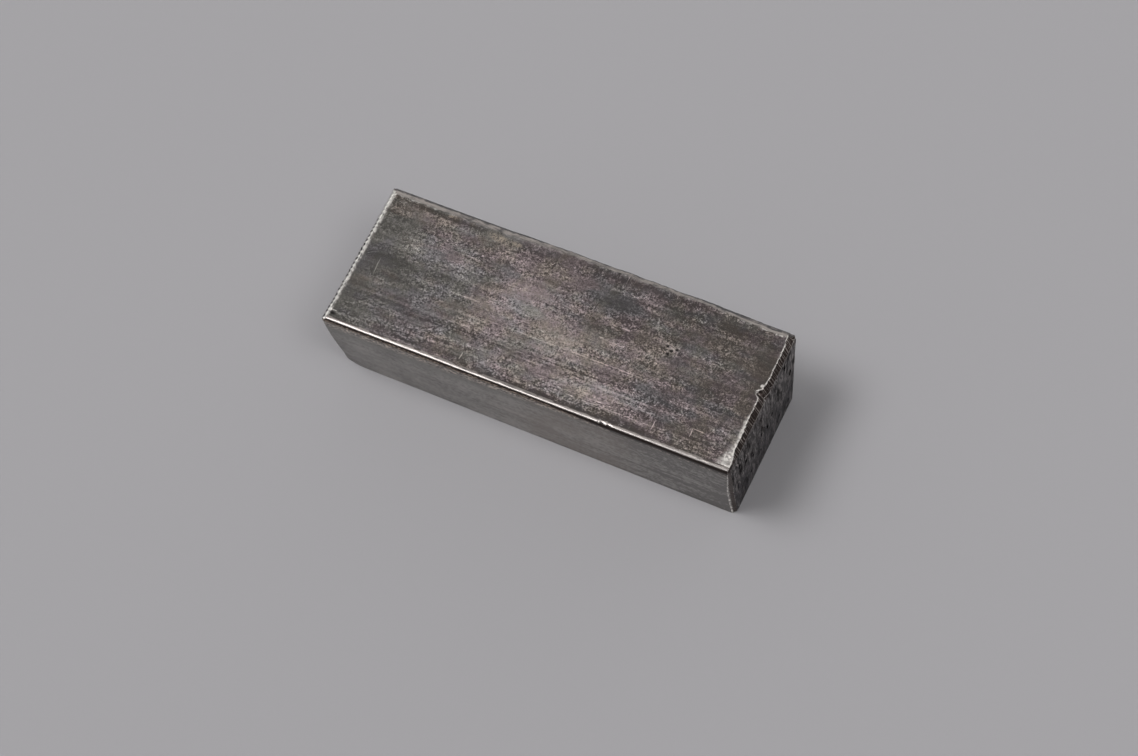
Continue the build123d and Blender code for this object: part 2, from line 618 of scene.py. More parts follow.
    def zones(self, places: np.ndarray, quads: np.ndarray, walls: np.ndarray) -> np.ndarray:
        """Tell which zone each quad belongs to.

        Args:
            places: the box grid's points in millimetres.
            quads: the rows of four point numbers.
            walls: the wall that each quad lies on.

        Returns:
            The number of each quad's zone.
        """
        form = self.form
        x, y, z = places[quads].mean(axis=1).T
        from_right, from_left = form.length / 2 - x, form.length / 2 + x
        from_front, from_back = form.width / 2 + y, form.width / 2 - y
        from_top = form.height - z
        top, front = walls == Wall.TOP.value, walls == Wall.FRONT.value
        back, right, left = (walls == w.value for w in (Wall.BACK, Wall.RIGHT, Wall.LEFT))
        zone = np.full(len(quads), Zone.SIDE.value)
        zone[top] = Zone.TOP.value
        zone[right] = Zone.SAWN_END.value
        on_round = (top & (from_front < form.front_top.on_a)) | (front & (from_top < form.front_top.on_b))
        on_back = (top & (from_back < form.back_top.on_a)) | (back & (from_top < form.back_top.on_b))
        zone[on_round] = Zone.FRONT_ROUND.value
        zone[on_back] = Zone.BACK_BEVEL.value
        on_right = (top | front) & (from_right < form.right_end.on_a)
        on_right |= right & (np.minimum(from_top, from_front) < form.right_end.on_b)
        on_right |= right & ((from_back < form.right_back.on_b) | (z < form.right_foot.on_b))
        on_left = (top & (from_left < form.left_end.on_a)) | (left & (from_top < form.left_end.on_b))
        zone[on_right] = Zone.FILED_BEVEL.value
        zone[on_left] = Zone.LEFT_BEVEL.value
        return zone


@dataclass(frozen=True)
class Grain:
    """A cloudy pattern: the length of its largest waves, its finer layers and its strength.

    Rough is how strong each finer layer is next to the last. Scale is what the places are
    multiplied by before the pattern is read, so a number below 1 draws it out. Where it
    has a ramp, the ramp turns its waves into a share.
    """

    pitch: float
    layers: float = 2.0
    rough: float = 0.5
    scale: Triple | None = None
    gain: float | None = None
    ramp: Ramp | None = None


class NodeSheet:
    """A shader's node tree, with short ways to lay down the nodes that it needs."""

    def __init__(self, tree: bpy.types.NodeTree) -> None:
        """Keep the tree that the nodes go into."""
        self.tree = tree

    def put(self, kind: str, inputs: dict[int | str, object], **settings: object) -> bpy.types.Node:
        """Add one node, with its settings made and its inputs filled or linked.

        Args:
            kind: the node's type.
            inputs: what goes into each input, a plain value or another node's output.
            settings: the node's own options by name.

        Returns:
            The new node.
        """
        node = self.tree.nodes.new(kind)
        for name, setting in settings.items():
            setattr(node, name, setting)
        for name, level in inputs.items():
            if isinstance(level, Socket):
                self.tree.links.new(level, node.inputs[name])
            else:
                node.inputs[name].default_value = level
        return node

    def math(self, operation: str, *levels: Level, **settings: bool) -> Socket:
        """Work out one sum of one, two or three numbers."""
        inputs = dict(enumerate(levels))
        return self.put("ShaderNodeMath", inputs, operation=operation, **settings).outputs[0]

    def total(self, *levels: Level) -> Socket:
        """Add up several numbers."""
        return reduce(lambda first, second: self.math("ADD", first, second), levels)

    def product(self, *levels: Level) -> Socket:
        """Multiply several numbers."""
        return reduce(lambda first, second: self.math("MULTIPLY", first, second), levels)

    def weighed(self, *terms: tuple[Level, Level]) -> Socket:
        """Add up several numbers, each multiplied by its weight."""
        return self.total(*(self.product(level, weight) for level, weight in terms))

    def capped(self, level: Level, cap: float = 1.0) -> Socket:
        """Keep a number from going above a cap."""
        return self.math("MINIMUM", level, cap)

    def share(self, level: Level) -> Socket:
        """Keep a number between 0 and 1."""
        return self.capped(self.math("MAXIMUM", level, 0.0))

    def rise(
        self, level: Level, low: Level, high: Level, to_low: float = 0.0, to_high: float = 1.0
    ) -> Socket:
        """Rise or fall smoothly from to_low to to_high as the level goes from low to high.

        Args:
            level: the number that is read.
            low: where the change starts, above high where the level is read backwards.
            high: where the change ends.
            to_low: the result up to low.
            to_high: the result from high on.

        Returns:
            The smoothly changed number.
        """
        flipped = isinstance(low, Socket) or (not isinstance(high, Socket) and low > high)
        inputs = {0: level, 1: high if flipped else low, 2: low if flipped else high}
        inputs[3], inputs[4] = (to_high, to_low) if flipped else (to_low, to_high)
        node = self.put("ShaderNodeMapRange", inputs, interpolation_type="SMOOTHSTEP")
        return node.outputs[0]

    def blend(self, first: Level, second: Level, share: Level) -> Socket:
        """Go from the first number to the second by a share."""
        inputs = {0: share, 2: first, 3: second}
        return self.put("ShaderNodeMix", inputs, data_type="FLOAT").outputs[0]

    def tint(self, first: Socket | Triple, second: Socket | Triple, share: Level) -> Socket:
        """Go from one colour to another.

        Args:
            first: the colour where the share is 0.
            second: the colour where the share is 1.
            share: how far each place has gone from the first to the second.

        Returns:
            The mixed colour.
        """
        colours = [c if isinstance(c, Socket) else (*c, 1.0) for c in (first, second)]
        inputs = {0: share, 6: colours[0], 7: colours[1]}
        return self.put("ShaderNodeMix", inputs, data_type="RGBA").outputs[2]

    def scaled(self, colour: Socket, level: Socket) -> Socket:
        """Make a colour lighter or darker as a whole."""
        inputs = {0: colour, "Scale": level}
        return self.put("ShaderNodeVectorMath", inputs, operation="SCALE").outputs[0]

    def noise(self, place: Socket, grain: Grain) -> Socket:
        """Read a cloudy pattern.

        Args:
            place: the places to read it at.
            grain: the pattern's sizes, in the unit of the places.

        Returns:
            A number of about -0.5 to 0.5 times the pattern's gain, or its ramp's result.
        """
        if grain.scale is not None:
            inputs = {0: place, 1: grain.scale}
            place = self.put("ShaderNodeVectorMath", inputs, operation="MULTIPLY").outputs[0]
        inputs = {"Vector": place, "Scale": 1.0 / grain.pitch, "Detail": grain.layers}
        node = self.put("ShaderNodeTexNoise", inputs | {"Roughness": grain.rough})
        level = self.math("SUBTRACT", node.outputs["Fac"], 0.5)
        if grain.gain is not None:
            level = self.product(level, grain.gain)
        return level if grain.ramp is None else self.rise(level, *grain.ramp)

    def line_noise(self, where: Socket, pitch: float, layers: float = 2.0) -> Socket:
        """Read a cloudy pattern along one number, centred on zero.

        Args:
            where: the number to read it along, in millimetres.
            pitch: the length of its largest waves, in millimetres.
            layers: how many finer layers it has.

        Returns:
            A number of about -0.5 to 0.5.
        """
        inputs = {"W": where, "Scale": 1.0 / pitch, "Detail": layers}
        node = self.put("ShaderNodeTexNoise", inputs, noise_dimensions="1D")
        return self.math("SUBTRACT", node.outputs["Fac"], 0.5)

    def worms(self, place: Socket, grain: Grain, thin: float) -> Socket:
        """Draw fine crooked lines, where a cloudy pattern crosses zero."""
        crossing = self.math("ABSOLUTE", self.noise(place, grain))
        return self.rise(crossing, thin, thin * 0.2)

    def wave(self, where: Level, pitch: float, phase: Level = 0.0) -> Socket:
        """Swing between -1 and 1 once every pitch."""
        turns = self.product(where, 2.0 * math.pi / pitch)
        return self.math("SINE", self.total(turns, phase))

    def axes(self, place: Socket) -> tuple[Socket, Socket, Socket]:
        """Split a place into its X, Y and Z."""
        node = self.put("ShaderNodeSeparateXYZ", {0: place})
        return node.outputs[0], node.outputs[1], node.outputs[2]


@dataclass(frozen=True)
class Metal:
    """One state of the metal's surface: its colour and how dull it is."""

    colour: Triple
    dullness: float


class BarSheet(NodeSheet):
    """The shader of one zone of the bar, with places in millimetres on the plain box."""

    def __init__(self, name: str, form: BarForm) -> None:
        """Start the zone's shader and read where on the bar each place is.

        Args:
            name: the material's name.
            form: the bar's sizes.
        """
        self.material = bpy.data.materials.new(name)
        self.material.use_nodes = True
        super().__init__(self.material.node_tree)
        self.form = form
        self.place = self.put("ShaderNodeAttribute", {}, attribute_name=PLACE).outputs["Vector"]
        self.x, self.y, self.z = self.axes(self.place)

    def inside(self, wall: Wall) -> Socket:
        """Tell how far each place lies inside one wall of the plain box.

        Args:
            wall: any wall but the foot.

        Returns:
            The distance in millimetres.
        """
        half_length, half_width = self.form.length / 2, self.form.width / 2
        sums = {
            Wall.TOP: ("SUBTRACT", self.form.height, self.z),
            Wall.FRONT: ("ADD", half_width, self.y),
            Wall.BACK: ("SUBTRACT", half_width, self.y),
            Wall.LEFT: ("ADD", half_length, self.x),
            Wall.RIGHT: ("SUBTRACT", half_length, self.x),
        }
        return self.math(*sums[wall])

    def bent(self, pitch: float, reach: float) -> Socket:
        """Move the places about a little, so that straight marks wander.

        Args:
            pitch: how long the bends are, in millimetres.
            reach: how far the places are moved at most, in millimetres.

        Returns:
            The moved places.
        """
        inputs = {"Vector": self.place, "Scale": 1.0 / pitch, "Detail": 1.0}
        clouds = self.put("ShaderNodeTexNoise", inputs).outputs["Color"]
        inputs = {0: clouds, 1: (0.5, 0.5, 0.5)}
        centred = self.put("ShaderNodeVectorMath", inputs, operation="SUBTRACT").outputs[0]
        inputs = {0: centred, 1: (reach, reach, reach), 2: self.place}
        return self.put("ShaderNodeVectorMath", inputs, operation="MULTIPLY_ADD").outputs[0]

    def marks(self, x: Socket, y: Socket, marks: tuple[Mark, ...]) -> Socket:
        """Add up the tones of several marks on a wall.

        Args:
            x: where each place is along the wall.
            y: where each place is across the wall.
            marks: the marks to draw.

        Returns:
            The summed tone.
        """
        summed: Level = 0.0
        for mark in marks:
            turn = math.radians(mark.turn)
            ways = (
                (mark.half_long, math.cos(turn), math.sin(turn)),
                (mark.half_wide, -math.sin(turn), math.cos(turn)),
            )
            squares: Level = 0.0
            for half, ahead, aside in ways:
                start = -(mark.x * ahead + mark.y * aside) / half
                away = self.math("MULTIPLY_ADD", y, aside / half, start)
                away = self.math("MULTIPLY_ADD", x, ahead / half, away)
                squares = self.math("MULTIPLY_ADD", away, away, squares)
            out = self.math("SQRT", squares)
            summed = self.total(summed, self.rise(out, 1.0, mark.core, 0.0, mark.tone))
        return summed

    def across_edge(self, from_b: Socket, from_a: Socket, dress: EdgeDress) -> tuple[Socket, Socket]:
        """Give how far into an edge's band each place is, from each of its two walls.

        Args:
            from_b: the distance along wall A from wall B.
            from_a: the distance along wall B from wall A.
            dress: the edge's dressing.

        Returns:
            Two numbers from 0 at the band's border to 1 at the old sharp edge.
        """
        across = self.math("MULTIPLY_ADD", from_b, -1.0 / dress.on_a, 1.0, use_clamp=True)
        down = self.math("MULTIPLY_ADD", from_a, -1.0 / dress.on_b, 1.0, use_clamp=True)
        return across, down

    def down_bevel(self, from_b: Socket, from_a: Socket, dress: EdgeDress) -> Socket:
        """Give how far down an edge's bevel each place is.

        Args:
            from_b: the distance along wall A from wall B.
            from_a: the distance along wall B from wall A.
            dress: the edge's dressing.

        Returns:
            A number from 0 at wall A's border to 1 at wall B's.
        """
        across, down = self.across_edge(from_b, from_a, dress)
        return self.math("DIVIDE", across, self.total(across, down, TINY_SHARE))

    def paint(
        self, colour: Socket, dullness: Level, relief: Socket, glance: Socket | None = None
    ) -> bpy.types.Material:
        """Put a finish on the metal.

        Args:
            colour: the metal's colour.
            dullness: how dull it is.
            relief: its fine relief in millimetres.
            glance: its colour at a glancing angle, white when left out.

        Returns:
            The finished material.
        """
        shader = self.tree.nodes["Principled BSDF"]
        shader.inputs["Metallic"].default_value = 1.0
        self.tree.links.new(colour, shader.inputs["Base Color"])
        if isinstance(dullness, Socket):
            self.tree.links.new(dullness, shader.inputs["Roughness"])
        else:
            shader.inputs["Roughness"].default_value = dullness
        if glance is not None:
            self.tree.links.new(glance, shader.inputs["Specular Tint"])
        bump = self.put("ShaderNodeBump", {"Strength": 1.0, "Distance": MM, "Height": relief})
        self.tree.links.new(bump.outputs["Normal"], shader.inputs["Normal"])
        return self.material


class Finish(ABC):
    """How one zone of the bar was finished or worn."""

    @abstractmethod
    def build(self, form: BarForm) -> bpy.types.Material:
        """Make the zone's material.

        Args:
            form: the bar's sizes.

        Returns:
            The finished material.
        """


@dataclass(frozen=True)
class WornTop(Finish):
    """The top wall: dark tarnish, rubbed through to the metal in patches and fine lines."""

    tarnish: Metal = Metal((0.082, 0.074, 0.07), 0.44)
    bare: Metal = Metal((0.70, 0.61, 0.585), 0.32)
    rubbed: Triple = (0.92, 0.875, 0.83)
    # the colour that darkens the pits, a scratch and two corners listed in dark_marks
    dark_spot: Triple = (0.022, 0.02, 0.02)
    mauve: Triple = (1.20, 0.98, 0.99)
    olive: Triple = (1.18, 1.00, 0.89)
    green: Triple = (1.08, 1.02, 0.94)
    blue: Triple = (1.07, 1.00, 1.02)
    ochre: Triple = (0.50, 0.425, 0.345)
    wear: float = 0.10
    wander_pitch: float = 0.9
    wander_reach: float = 0.22
    grain: Grain = Grain(0.2, 1.5, 0.7)
    row_grain: Grain = Grain(0.34, 3.0, 0.65, (0.03, 1.0, 1.0))
    bands: Grain = Grain(1.5, 2.0, 0.6, (0.07, 1.0, 1.0), gain=0.55)
    breaks: Grain = Grain(0.5, 2.0, 0.7, (0.5, 1.0, 1.0), ramp=(-0.1, 0.12))
    specks: Grain = Grain(0.34, 1.0, ramp=(-0.08, -0.18, 0.0, -0.22))
    unevenness: Grain = Grain(1.4, 2.0, 0.5, (0.5, 1.0, 1.0), ramp=(-0.14, 0.14, 0.45, 1.3))
    clouds: Grain = Grain(4.5, 3.0, gain=0.45)
    # the net of fine bright threads, and how strongly all of it shows
    coarse_threads: Grain = Grain(0.55, 2.0, 0.55)
    coarse_gaps: Grain = Grain(0.45, 1.0, ramp=(-0.06, 0.1))
    coarse_width: float = 0.035
    fine_threads: Grain = Grain(0.3, 2.0, 0.55, (0.75, 1.0, 1.0))
    fine_gaps: Grain = Grain(0.5, 2.0, ramp=(-0.08, 0.1))
    fine_width: float = 0.05
    fine_gain: float = 0.9
    thread_gain: float = 0.42
    cluster_gain: float = 0.9
    row_gain: tuple[float, float] = (0.7, 1.5)
    grain_gain: float = 1.8
    towards_front: Ramp = (0.0, -5.5)
    wear_bend: float = 0.35
    darkest_spot: float = 0.95
    # the hue
    red_clouds: Grain = Grain(4.5, 1.0, 0.5, (0.45, 1.0, 1.0), gain=1.6)
    red_spots: Grain = Grain(1.6, 2.0, 0.55, (0.45, 1.0, 1.0), gain=2.8)
    redder_to_right: Ramp = (-22.0, -6.0, 0.05, 0.70)
    yellow_clouds: Grain = Grain(5.5, 1.0, gain=2.6)
    yellow_spots: Grain = Grain(1.4, 2.0, 0.55, gain=2.4)
    yellower_to_ends: Ramp = (14.0, 23.0, 0.42, 0.6)
    ochre_breaks: Ramp = (-0.12, 0.1, 0.1, 1.0)
    # the ragged bright lines beside the ridges
    rag: Grain = Grain(0.7, 2.0)
    right_rag: float = 0.3
    right_line: tuple[float, float] = (0.14, 0.02)
    right_breaks: Grain = Grain(0.35, 1.0, ramp=(-0.08, 0.08, 0.15, 0.95))
    back_rag: float = 0.9
    back_line: tuple[float, float] = (0.22, -0.05)
    back_at_left: Ramp = (-15.0, -22.0, 0.15, 0.6)
    back_at_right: Ramp = (15.0, 22.0, 0.0, 0.75)
    back_breaks: Grain = Grain(0.4, 2.0, ramp=(-0.08, 0.1))
    left_rag: float = 0.25
    left_line: tuple[float, float] = (0.38, 0.1)
    left_breaks: Grain = Grain(0.5, 2.0, ramp=(-0.12, 0.1, 0.15, 0.75))
    spot_rag: float = 0.35
    spot_breaks: Grain = Grain(0.3, 2.0, ramp=(-0.1, 0.04, 0.45, 1.0))
    most_rubbed: float = 0.95
    # the relief
    grain_relief: float = 0.012
    thread_relief: float = 0.006
    # where the marks are, seen from above: x along the bar and y across it
    patches: tuple[Mark, ...] = (
        Mark(-4.5, 0.0, 11.0, 5.0, 0.24), Mark(1.5, -2.5, 9.0, 5.0, 0.12),
        Mark(7.5, -5.6, 6.5, 2.4, 0.26), Mark(-22.5, 0.0, 4.5, 12.0, -0.06),
        Mark(-20.0, -5.5, 5.0, 4.0, -0.06), Mark(5.5, 5.0, 5.0, 3.2, -0.12),
        Mark(15.0, 5.5, 13.0, 4.5, -0.16), Mark(18.5, -0.5, 8.0, 5.0, -0.14),
        Mark(15.0, -5.0, 4.0, 3.0, -0.08), Mark(8.0, -8.35, 17.0, 0.65, -0.32, core=0.4),
        Mark(5.5, 8.1, 11.0, 0.5, -0.15, core=0.4), Mark(-17.3, 7.85, 7.0, 0.4, -0.2, core=0.4),
        Mark(-5.5, 2.3, 6.5, 3.2, 0.20), Mark(1.5, -1.8, 5.0, 3.0, 0.14),
        Mark(8.5, -2.2, 3.5, 2.0, 0.09), Mark(25.0, 4.0, 6.5, 8.0, -0.14),
        Mark(-24.5, -7.5, 6.0, 3.0, -0.06), Mark(19.0, 0.5, 4.0, 4.0, -0.05),
        Mark(-21.0, 6.5, 4.0, 3.0, 0.08), Mark(-2.0, 4.5, 4.0, 2.0, 0.06),
        Mark(-7.0, -6.5, 7.0, 2.0, 0.06), Mark(-12.5, 2.3, 3.8, 2.6, 0.19),
        Mark(-2.5, 2.3, 8.0, 3.0, 0.09), Mark(2.5, -2.3, 8.5, 3.0, 0.10),
        Mark(0.0, -6.5, 11.0, 2.2, 0.07), Mark(7.5, 7.0, 8.0, 2.4, 0.09),
    )
    liveliness: tuple[Mark, ...] = (
        Mark(8.0, -5.0, 11.0, 8.0, 0.4), Mark(-27.0, 0.0, 17.0, 15.0, -0.8),
        Mark(26.0, 3.5, 10.0, 10.0, -0.8), Mark(-4.0, 8.0, 18.0, 3.5, -0.25),
        Mark(5.2, 5.2, 4.2, 1.9, -0.5, core=0.3), Mark(12.0, -8.2, 6.0, 0.8, -0.5, turn=2.0, core=0.3),
    )
    rubbed_marks: tuple[Mark, ...] = (
        Mark(24.5, -8.2, 1.5, 3.6, 0.95, turn=-14.0, core=0.5),
        Mark(24.36, -4.2, 0.42, 2.8, 0.85, core=0.35), Mark(24.34, 0.9, 0.16, 0.8, 0.9, core=0.5),
        Mark(23.62, -7.9, 0.08, 1.2, 0.4, core=0.4), Mark(24.25, 1.85, 0.3, 0.28, 0.9, core=0.4),
        Mark(-24.0, -7.78, 0.3, 0.08, 0.5, turn=-10.0, core=0.3),
    )
    dark_marks: tuple[Mark, ...] = (
        Mark(-24.12, -8.12, 0.42, 0.26, 0.9, core=0.4), Mark(12.45, 2.4, 0.28, 0.26, 0.7, core=0.4),
        Mark(13.05, 2.0, 0.3, 0.27, 0.7, core=0.4), Mark(12.8, 1.5, 0.26, 0.24, 0.7, core=0.4),
        Mark(13.6, 2.35, 0.26, 0.24, 0.7, core=0.4), Mark(13.1, 2.7, 0.24, 0.2, 0.6, core=0.4),
        Mark(3.0, 3.8, 0.75, 0.06, 0.6, turn=82.0, core=0.5),
        Mark(1.35, -0.65, 0.35, 0.07, 0.6, turn=40.0, core=0.5),
        Mark(23.9, -8.2, 0.5, 0.35, 0.35, core=0.2),
    )
    rows: tuple[Mark, ...] = (
        Mark(2.7, -2.38, 20.5, 0.12, 0.9), Mark(-12.8, 2.46, 7.5, 0.11, 0.8),
        Mark(6.9, 2.46, 1.8, 0.14, 1.5), Mark(5.6, 0.45, 3.0, 0.16, 1.2, turn=-3.0),
        Mark(-10.6, -0.66, 2.9, 0.13, 0.8), Mark(-14.2, 4.2, 7.8, 0.1, 0.5),
        Mark(4.0, -6.4, 13.0, 0.14, 0.7), Mark(9.0, -7.35, 14.0, 0.1, 0.8),
        Mark(6.0, -6.9, 10.0, 0.1, 0.6), Mark(-2.0, -4.6, 14.0, 0.09, 0.5),
    )
    clusters: tuple[Mark, ...] = (
        Mark(-19.3, 2.8, 1.5, 0.8, 1.3), Mark(6.2, 6.9, 1.9, 0.8, 1.2), Mark(14.6, 6.6, 1.5, 0.6, 1.0),
        Mark(-3.0, 6.9, 5.0, 0.7, 0.6), Mark(7.0, -1.5, 5.0, 1.0, 0.6), Mark(19.0, -2.3, 3.0, 0.5, 0.7),
        Mark(-9.0, 5.8, 7.0, 1.0, 0.5), Mark(18.0, 8.1, 5.0, 0.3, 1.0),
    )
    scratches: tuple[Mark, ...] = (
        Mark(-8.3, -7.5, 0.6, 0.07, 0.8, turn=90.0, core=0.6),
        Mark(15.0, -7.15, 0.7, 0.07, 0.8, turn=90.0, core=0.6),
        Mark(4.9, 8.2, 0.5, 0.06, 0.7, turn=88.0, core=0.6),
        Mark(19.25, -6.35, 0.7, 0.07, 0.9, turn=90.0, core=0.6),
        Mark(19.95, -5.85, 0.8, 0.07, 0.8, turn=-4.0, core=0.6),
        Mark(3.0, 3.8, 0.8, 0.07, -0.3, turn=84.0, core=0.6),
        Mark(-22.15, -0.85, 1.3, 0.06, 0.4, turn=92.0, core=0.6),
        Mark(-23.4, 0.5, 0.7, 0.05, 0.4, turn=30.0, core=0.6),
        Mark(1.35, -0.65, 0.35, 0.06, -0.4, turn=40.0, core=0.5),
        Mark(11.5, -1.0, 0.6, 0.05, 0.6, turn=75.0, core=0.5),
        Mark(-1.6, 3.4, 0.5, 0.05, 0.5, turn=80.0, core=0.5),
        Mark(-17.4, 7.0, 0.8, 0.07, 0.4, turn=88.0, core=0.5),
    )
    pit_marks: tuple[Mark, ...] = (
        Mark(13.0, 2.0, 1.0, 0.75, 0.35, turn=10.0, core=0.3),
        Mark(12.5, 2.35, 0.24, 0.22, -0.9, core=0.3), Mark(13.1, 1.95, 0.27, 0.25, -0.9, core=0.3),
        Mark(12.85, 1.5, 0.22, 0.2, -0.8, core=0.3), Mark(13.6, 2.3, 0.22, 0.2, -0.8, core=0.3),
        Mark(-24.1, -8.1, 0.5, 0.3, -0.9, core=0.5),
    )
    green_patches: tuple[Mark, ...] = (
        Mark(5.0, 5.2, 4.5, 1.6, -0.9, core=0.2), Mark(-13.5, -1.5, 7.0, 3.5, -0.6),
        Mark(17.0, -4.5, 3.0, 1.2, -0.3), Mark(-18.0, 7.0, 5.0, 2.0, 0.5),
        Mark(-18.0, -7.0, 5.0, 2.2, 0.5), Mark(0.0, -2.0, 6.0, 3.0, 0.25),
    )
    olive_patches: tuple[Mark, ...] = (
        Mark(21.0, -1.0, 5.0, 6.0, -0.35), Mark(18.0, 7.0, 7.0, 3.0, 0.45),
        Mark(-17.0, -3.5, 5.0, 5.5, -0.3), Mark(-11.0, 7.0, 5.0, 2.5, 0.6),
        Mark(-1.0, -2.5, 6.0, 3.0, 0.35), Mark(10.0, -6.5, 6.0, 2.0, 0.4),
    )
    ochre_patches: tuple[Mark, ...] = (
        Mark(-10.9, 7.6, 1.9, 0.7, 1.0, turn=-4.0), Mark(-8.7, 7.5, 1.2, 0.5, 0.9),
        Mark(-17.0, 8.1, 0.9, 0.4, 0.7), Mark(17.5, 0.5, 2.5, 2.5, 0.2),
    )

    def build(self, form: BarForm) -> bpy.types.Material:
        """Lay down the shader: how worn each place is, then its hue, ochre, rubbed spots and dark spots.

        Args:
            form: the bar's sizes.

        Returns:
            The finished material.
        """
        sheet = BarSheet("worn_top", form)
        bent = sheet.bent(self.wander_pitch, self.wander_reach)
        x, y, _ = sheet.axes(bent)
        threads = self.threads(sheet, bent)
        grain = sheet.noise(bent, self.grain)
        row_grain = sheet.noise(bent, self.row_grain)
        uneven = sheet.noise(sheet.place, self.unevenness)
        lively = sheet.product(sheet.total(1.0, sheet.marks(x, y, self.liveliness)), uneven)
        clusters = sheet.marks(x, y, self.clusters)
        gain = sheet.weighed((lively, self.thread_gain), (clusters, self.cluster_gain))
        row_gain = sheet.blend(*self.row_gain, sheet.rise(sheet.y, *self.towards_front))
        wear = sheet.total(
            self.wear,
            sheet.marks(x, y, self.patches),
            sheet.noise(sheet.place, self.clouds),
            sheet.noise(bent, self.bands),
            sheet.product(threads, gain),
            sheet.product(sheet.marks(x, y, self.rows), sheet.noise(bent, self.breaks)),
            sheet.product(row_grain, row_gain, lively),
            sheet.product(grain, lively, self.grain_gain),
            sheet.product(sheet.noise(sheet.place, self.specks), lively),
            sheet.marks(x, y, self.scratches),
            sheet.marks(sheet.x, sheet.y, self.pit_marks),
        )
        wear = sheet.capped(sheet.math("SMOOTH_MAX", wear, 0.0, self.wear_bend))
        level = sheet.blend(self.tarnish.colour[1], self.bare.colour[1], wear)
        ochre = sheet.capped(sheet.marks(x, y, self.ochre_patches))
        ochre = sheet.product(ochre, sheet.rise(grain, *self.ochre_breaks))
        dark_spot = sheet.capped(sheet.marks(sheet.x, sheet.y, self.dark_marks), self.darkest_spot)
        colour = sheet.scaled(self.hue(sheet, bent), level)
        colour = sheet.tint(colour, self.ochre, ochre)
        colour = sheet.tint(colour, self.rubbed, self.ridge_wear(sheet))
        colour = sheet.tint(colour, self.dark_spot, dark_spot)
        dullness = sheet.blend(self.tarnish.dullness, self.bare.dullness, wear)
        both_grains = sheet.total(grain, row_grain)
        relief = sheet.weighed((both_grains, self.grain_relief), (threads, self.thread_relief))
        return sheet.paint(colour, dullness, relief)

    def threads(self, sheet: BarSheet, bent: Socket) -> Socket:
        """Draw the net of fine bright threads where the tarnish has cracked off.

        Args:
            sheet: the top's shader.
            bent: the places, moved about a little.

        Returns:
            How bright the thread at each place is, 0 beside the threads.
        """
        coarse = sheet.worms(bent, self.coarse_threads, self.coarse_width)
        coarse = sheet.product(coarse, sheet.noise(bent, self.coarse_gaps))
        fine = sheet.worms(sheet.place, self.fine_threads, self.fine_width)
        fine = sheet.product(fine, sheet.noise(bent, self.fine_gaps), self.fine_gain)
        return sheet.math("MAXIMUM", coarse, fine)

    def hue(self, sheet: BarSheet, bent: Socket) -> Socket:
        """Drift the metal's colour between green and mauve, and between olive and blue.

        Args:
            sheet: the top's shader.
            bent: the places, moved about a little.

        Returns:
            A colour whose green part is about 1.
        """
        redder = sheet.total(
            sheet.rise(sheet.x, *self.redder_to_right),
            sheet.noise(bent, self.red_spots),
            sheet.noise(bent, self.red_clouds),
            sheet.marks(sheet.x, sheet.y, self.green_patches),
        )
        yellower = sheet.total(
            sheet.rise(sheet.math("ABSOLUTE", sheet.x), *self.yellower_to_ends),
            sheet.noise(bent, self.yellow_spots),
            sheet.noise(sheet.place, self.yellow_clouds),
            sheet.marks(sheet.x, sheet.y, self.olive_patches),
        )
        yellower = sheet.rise(yellower, 0.0, 1.0)
        warm = sheet.tint(self.mauve, self.olive, yellower)
        cool = sheet.tint(self.blue, self.green, yellower)
        return sheet.tint(cool, warm, sheet.rise(redder, 0.0, 1.0))

    def ridge_wear(self, sheet: BarSheet) -> Socket:
        """Rub the metal bright in a thin ragged line beside the ridge of each bevel.

        Args:
            sheet: the top's shader.

        Returns:
            How far each place is rubbed bright, from 0 to nearly 1.
        """
        form, rag = sheet.form, sheet.noise(sheet.place, self.rag)
        ridges = (
            (Wall.RIGHT, form.right_end.on_a, self.right_rag, self.right_line),
            (Wall.BACK, form.back_top.on_a, self.back_rag, self.back_line),
            (Wall.LEFT, form.left_end.on_a, self.left_rag, self.left_line),
        )
        lines = []
        for wall, ridge, raggedness, (outer, inner) in ridges:
            distance = sheet.total(sheet.inside(wall), sheet.product(rag, raggedness))
            lines.append(sheet.rise(distance, ridge + outer, ridge + inner))
        right, back, left = lines
        back_here = sheet.product(
            sheet.rise(sheet.x, *self.back_at_right), sheet.noise(sheet.place, self.back_breaks)
        )
        back_here = sheet.total(sheet.rise(sheet.x, *self.back_at_left), back_here)
        shift = sheet.product(rag, self.spot_rag)
        ragged_x, ragged_y = sheet.total(sheet.x, shift), sheet.total(sheet.y, shift)
        spots = sheet.marks(ragged_x, ragged_y, self.rubbed_marks)
        rubbed = sheet.weighed(
            (right, sheet.noise(sheet.place, self.right_breaks)),
            (back, back_here),
            (left, sheet.noise(sheet.place, self.left_breaks)),
            (spots, sheet.noise(sheet.place, self.spot_breaks)),
        )
        return sheet.capped(rubbed, self.most_rubbed)


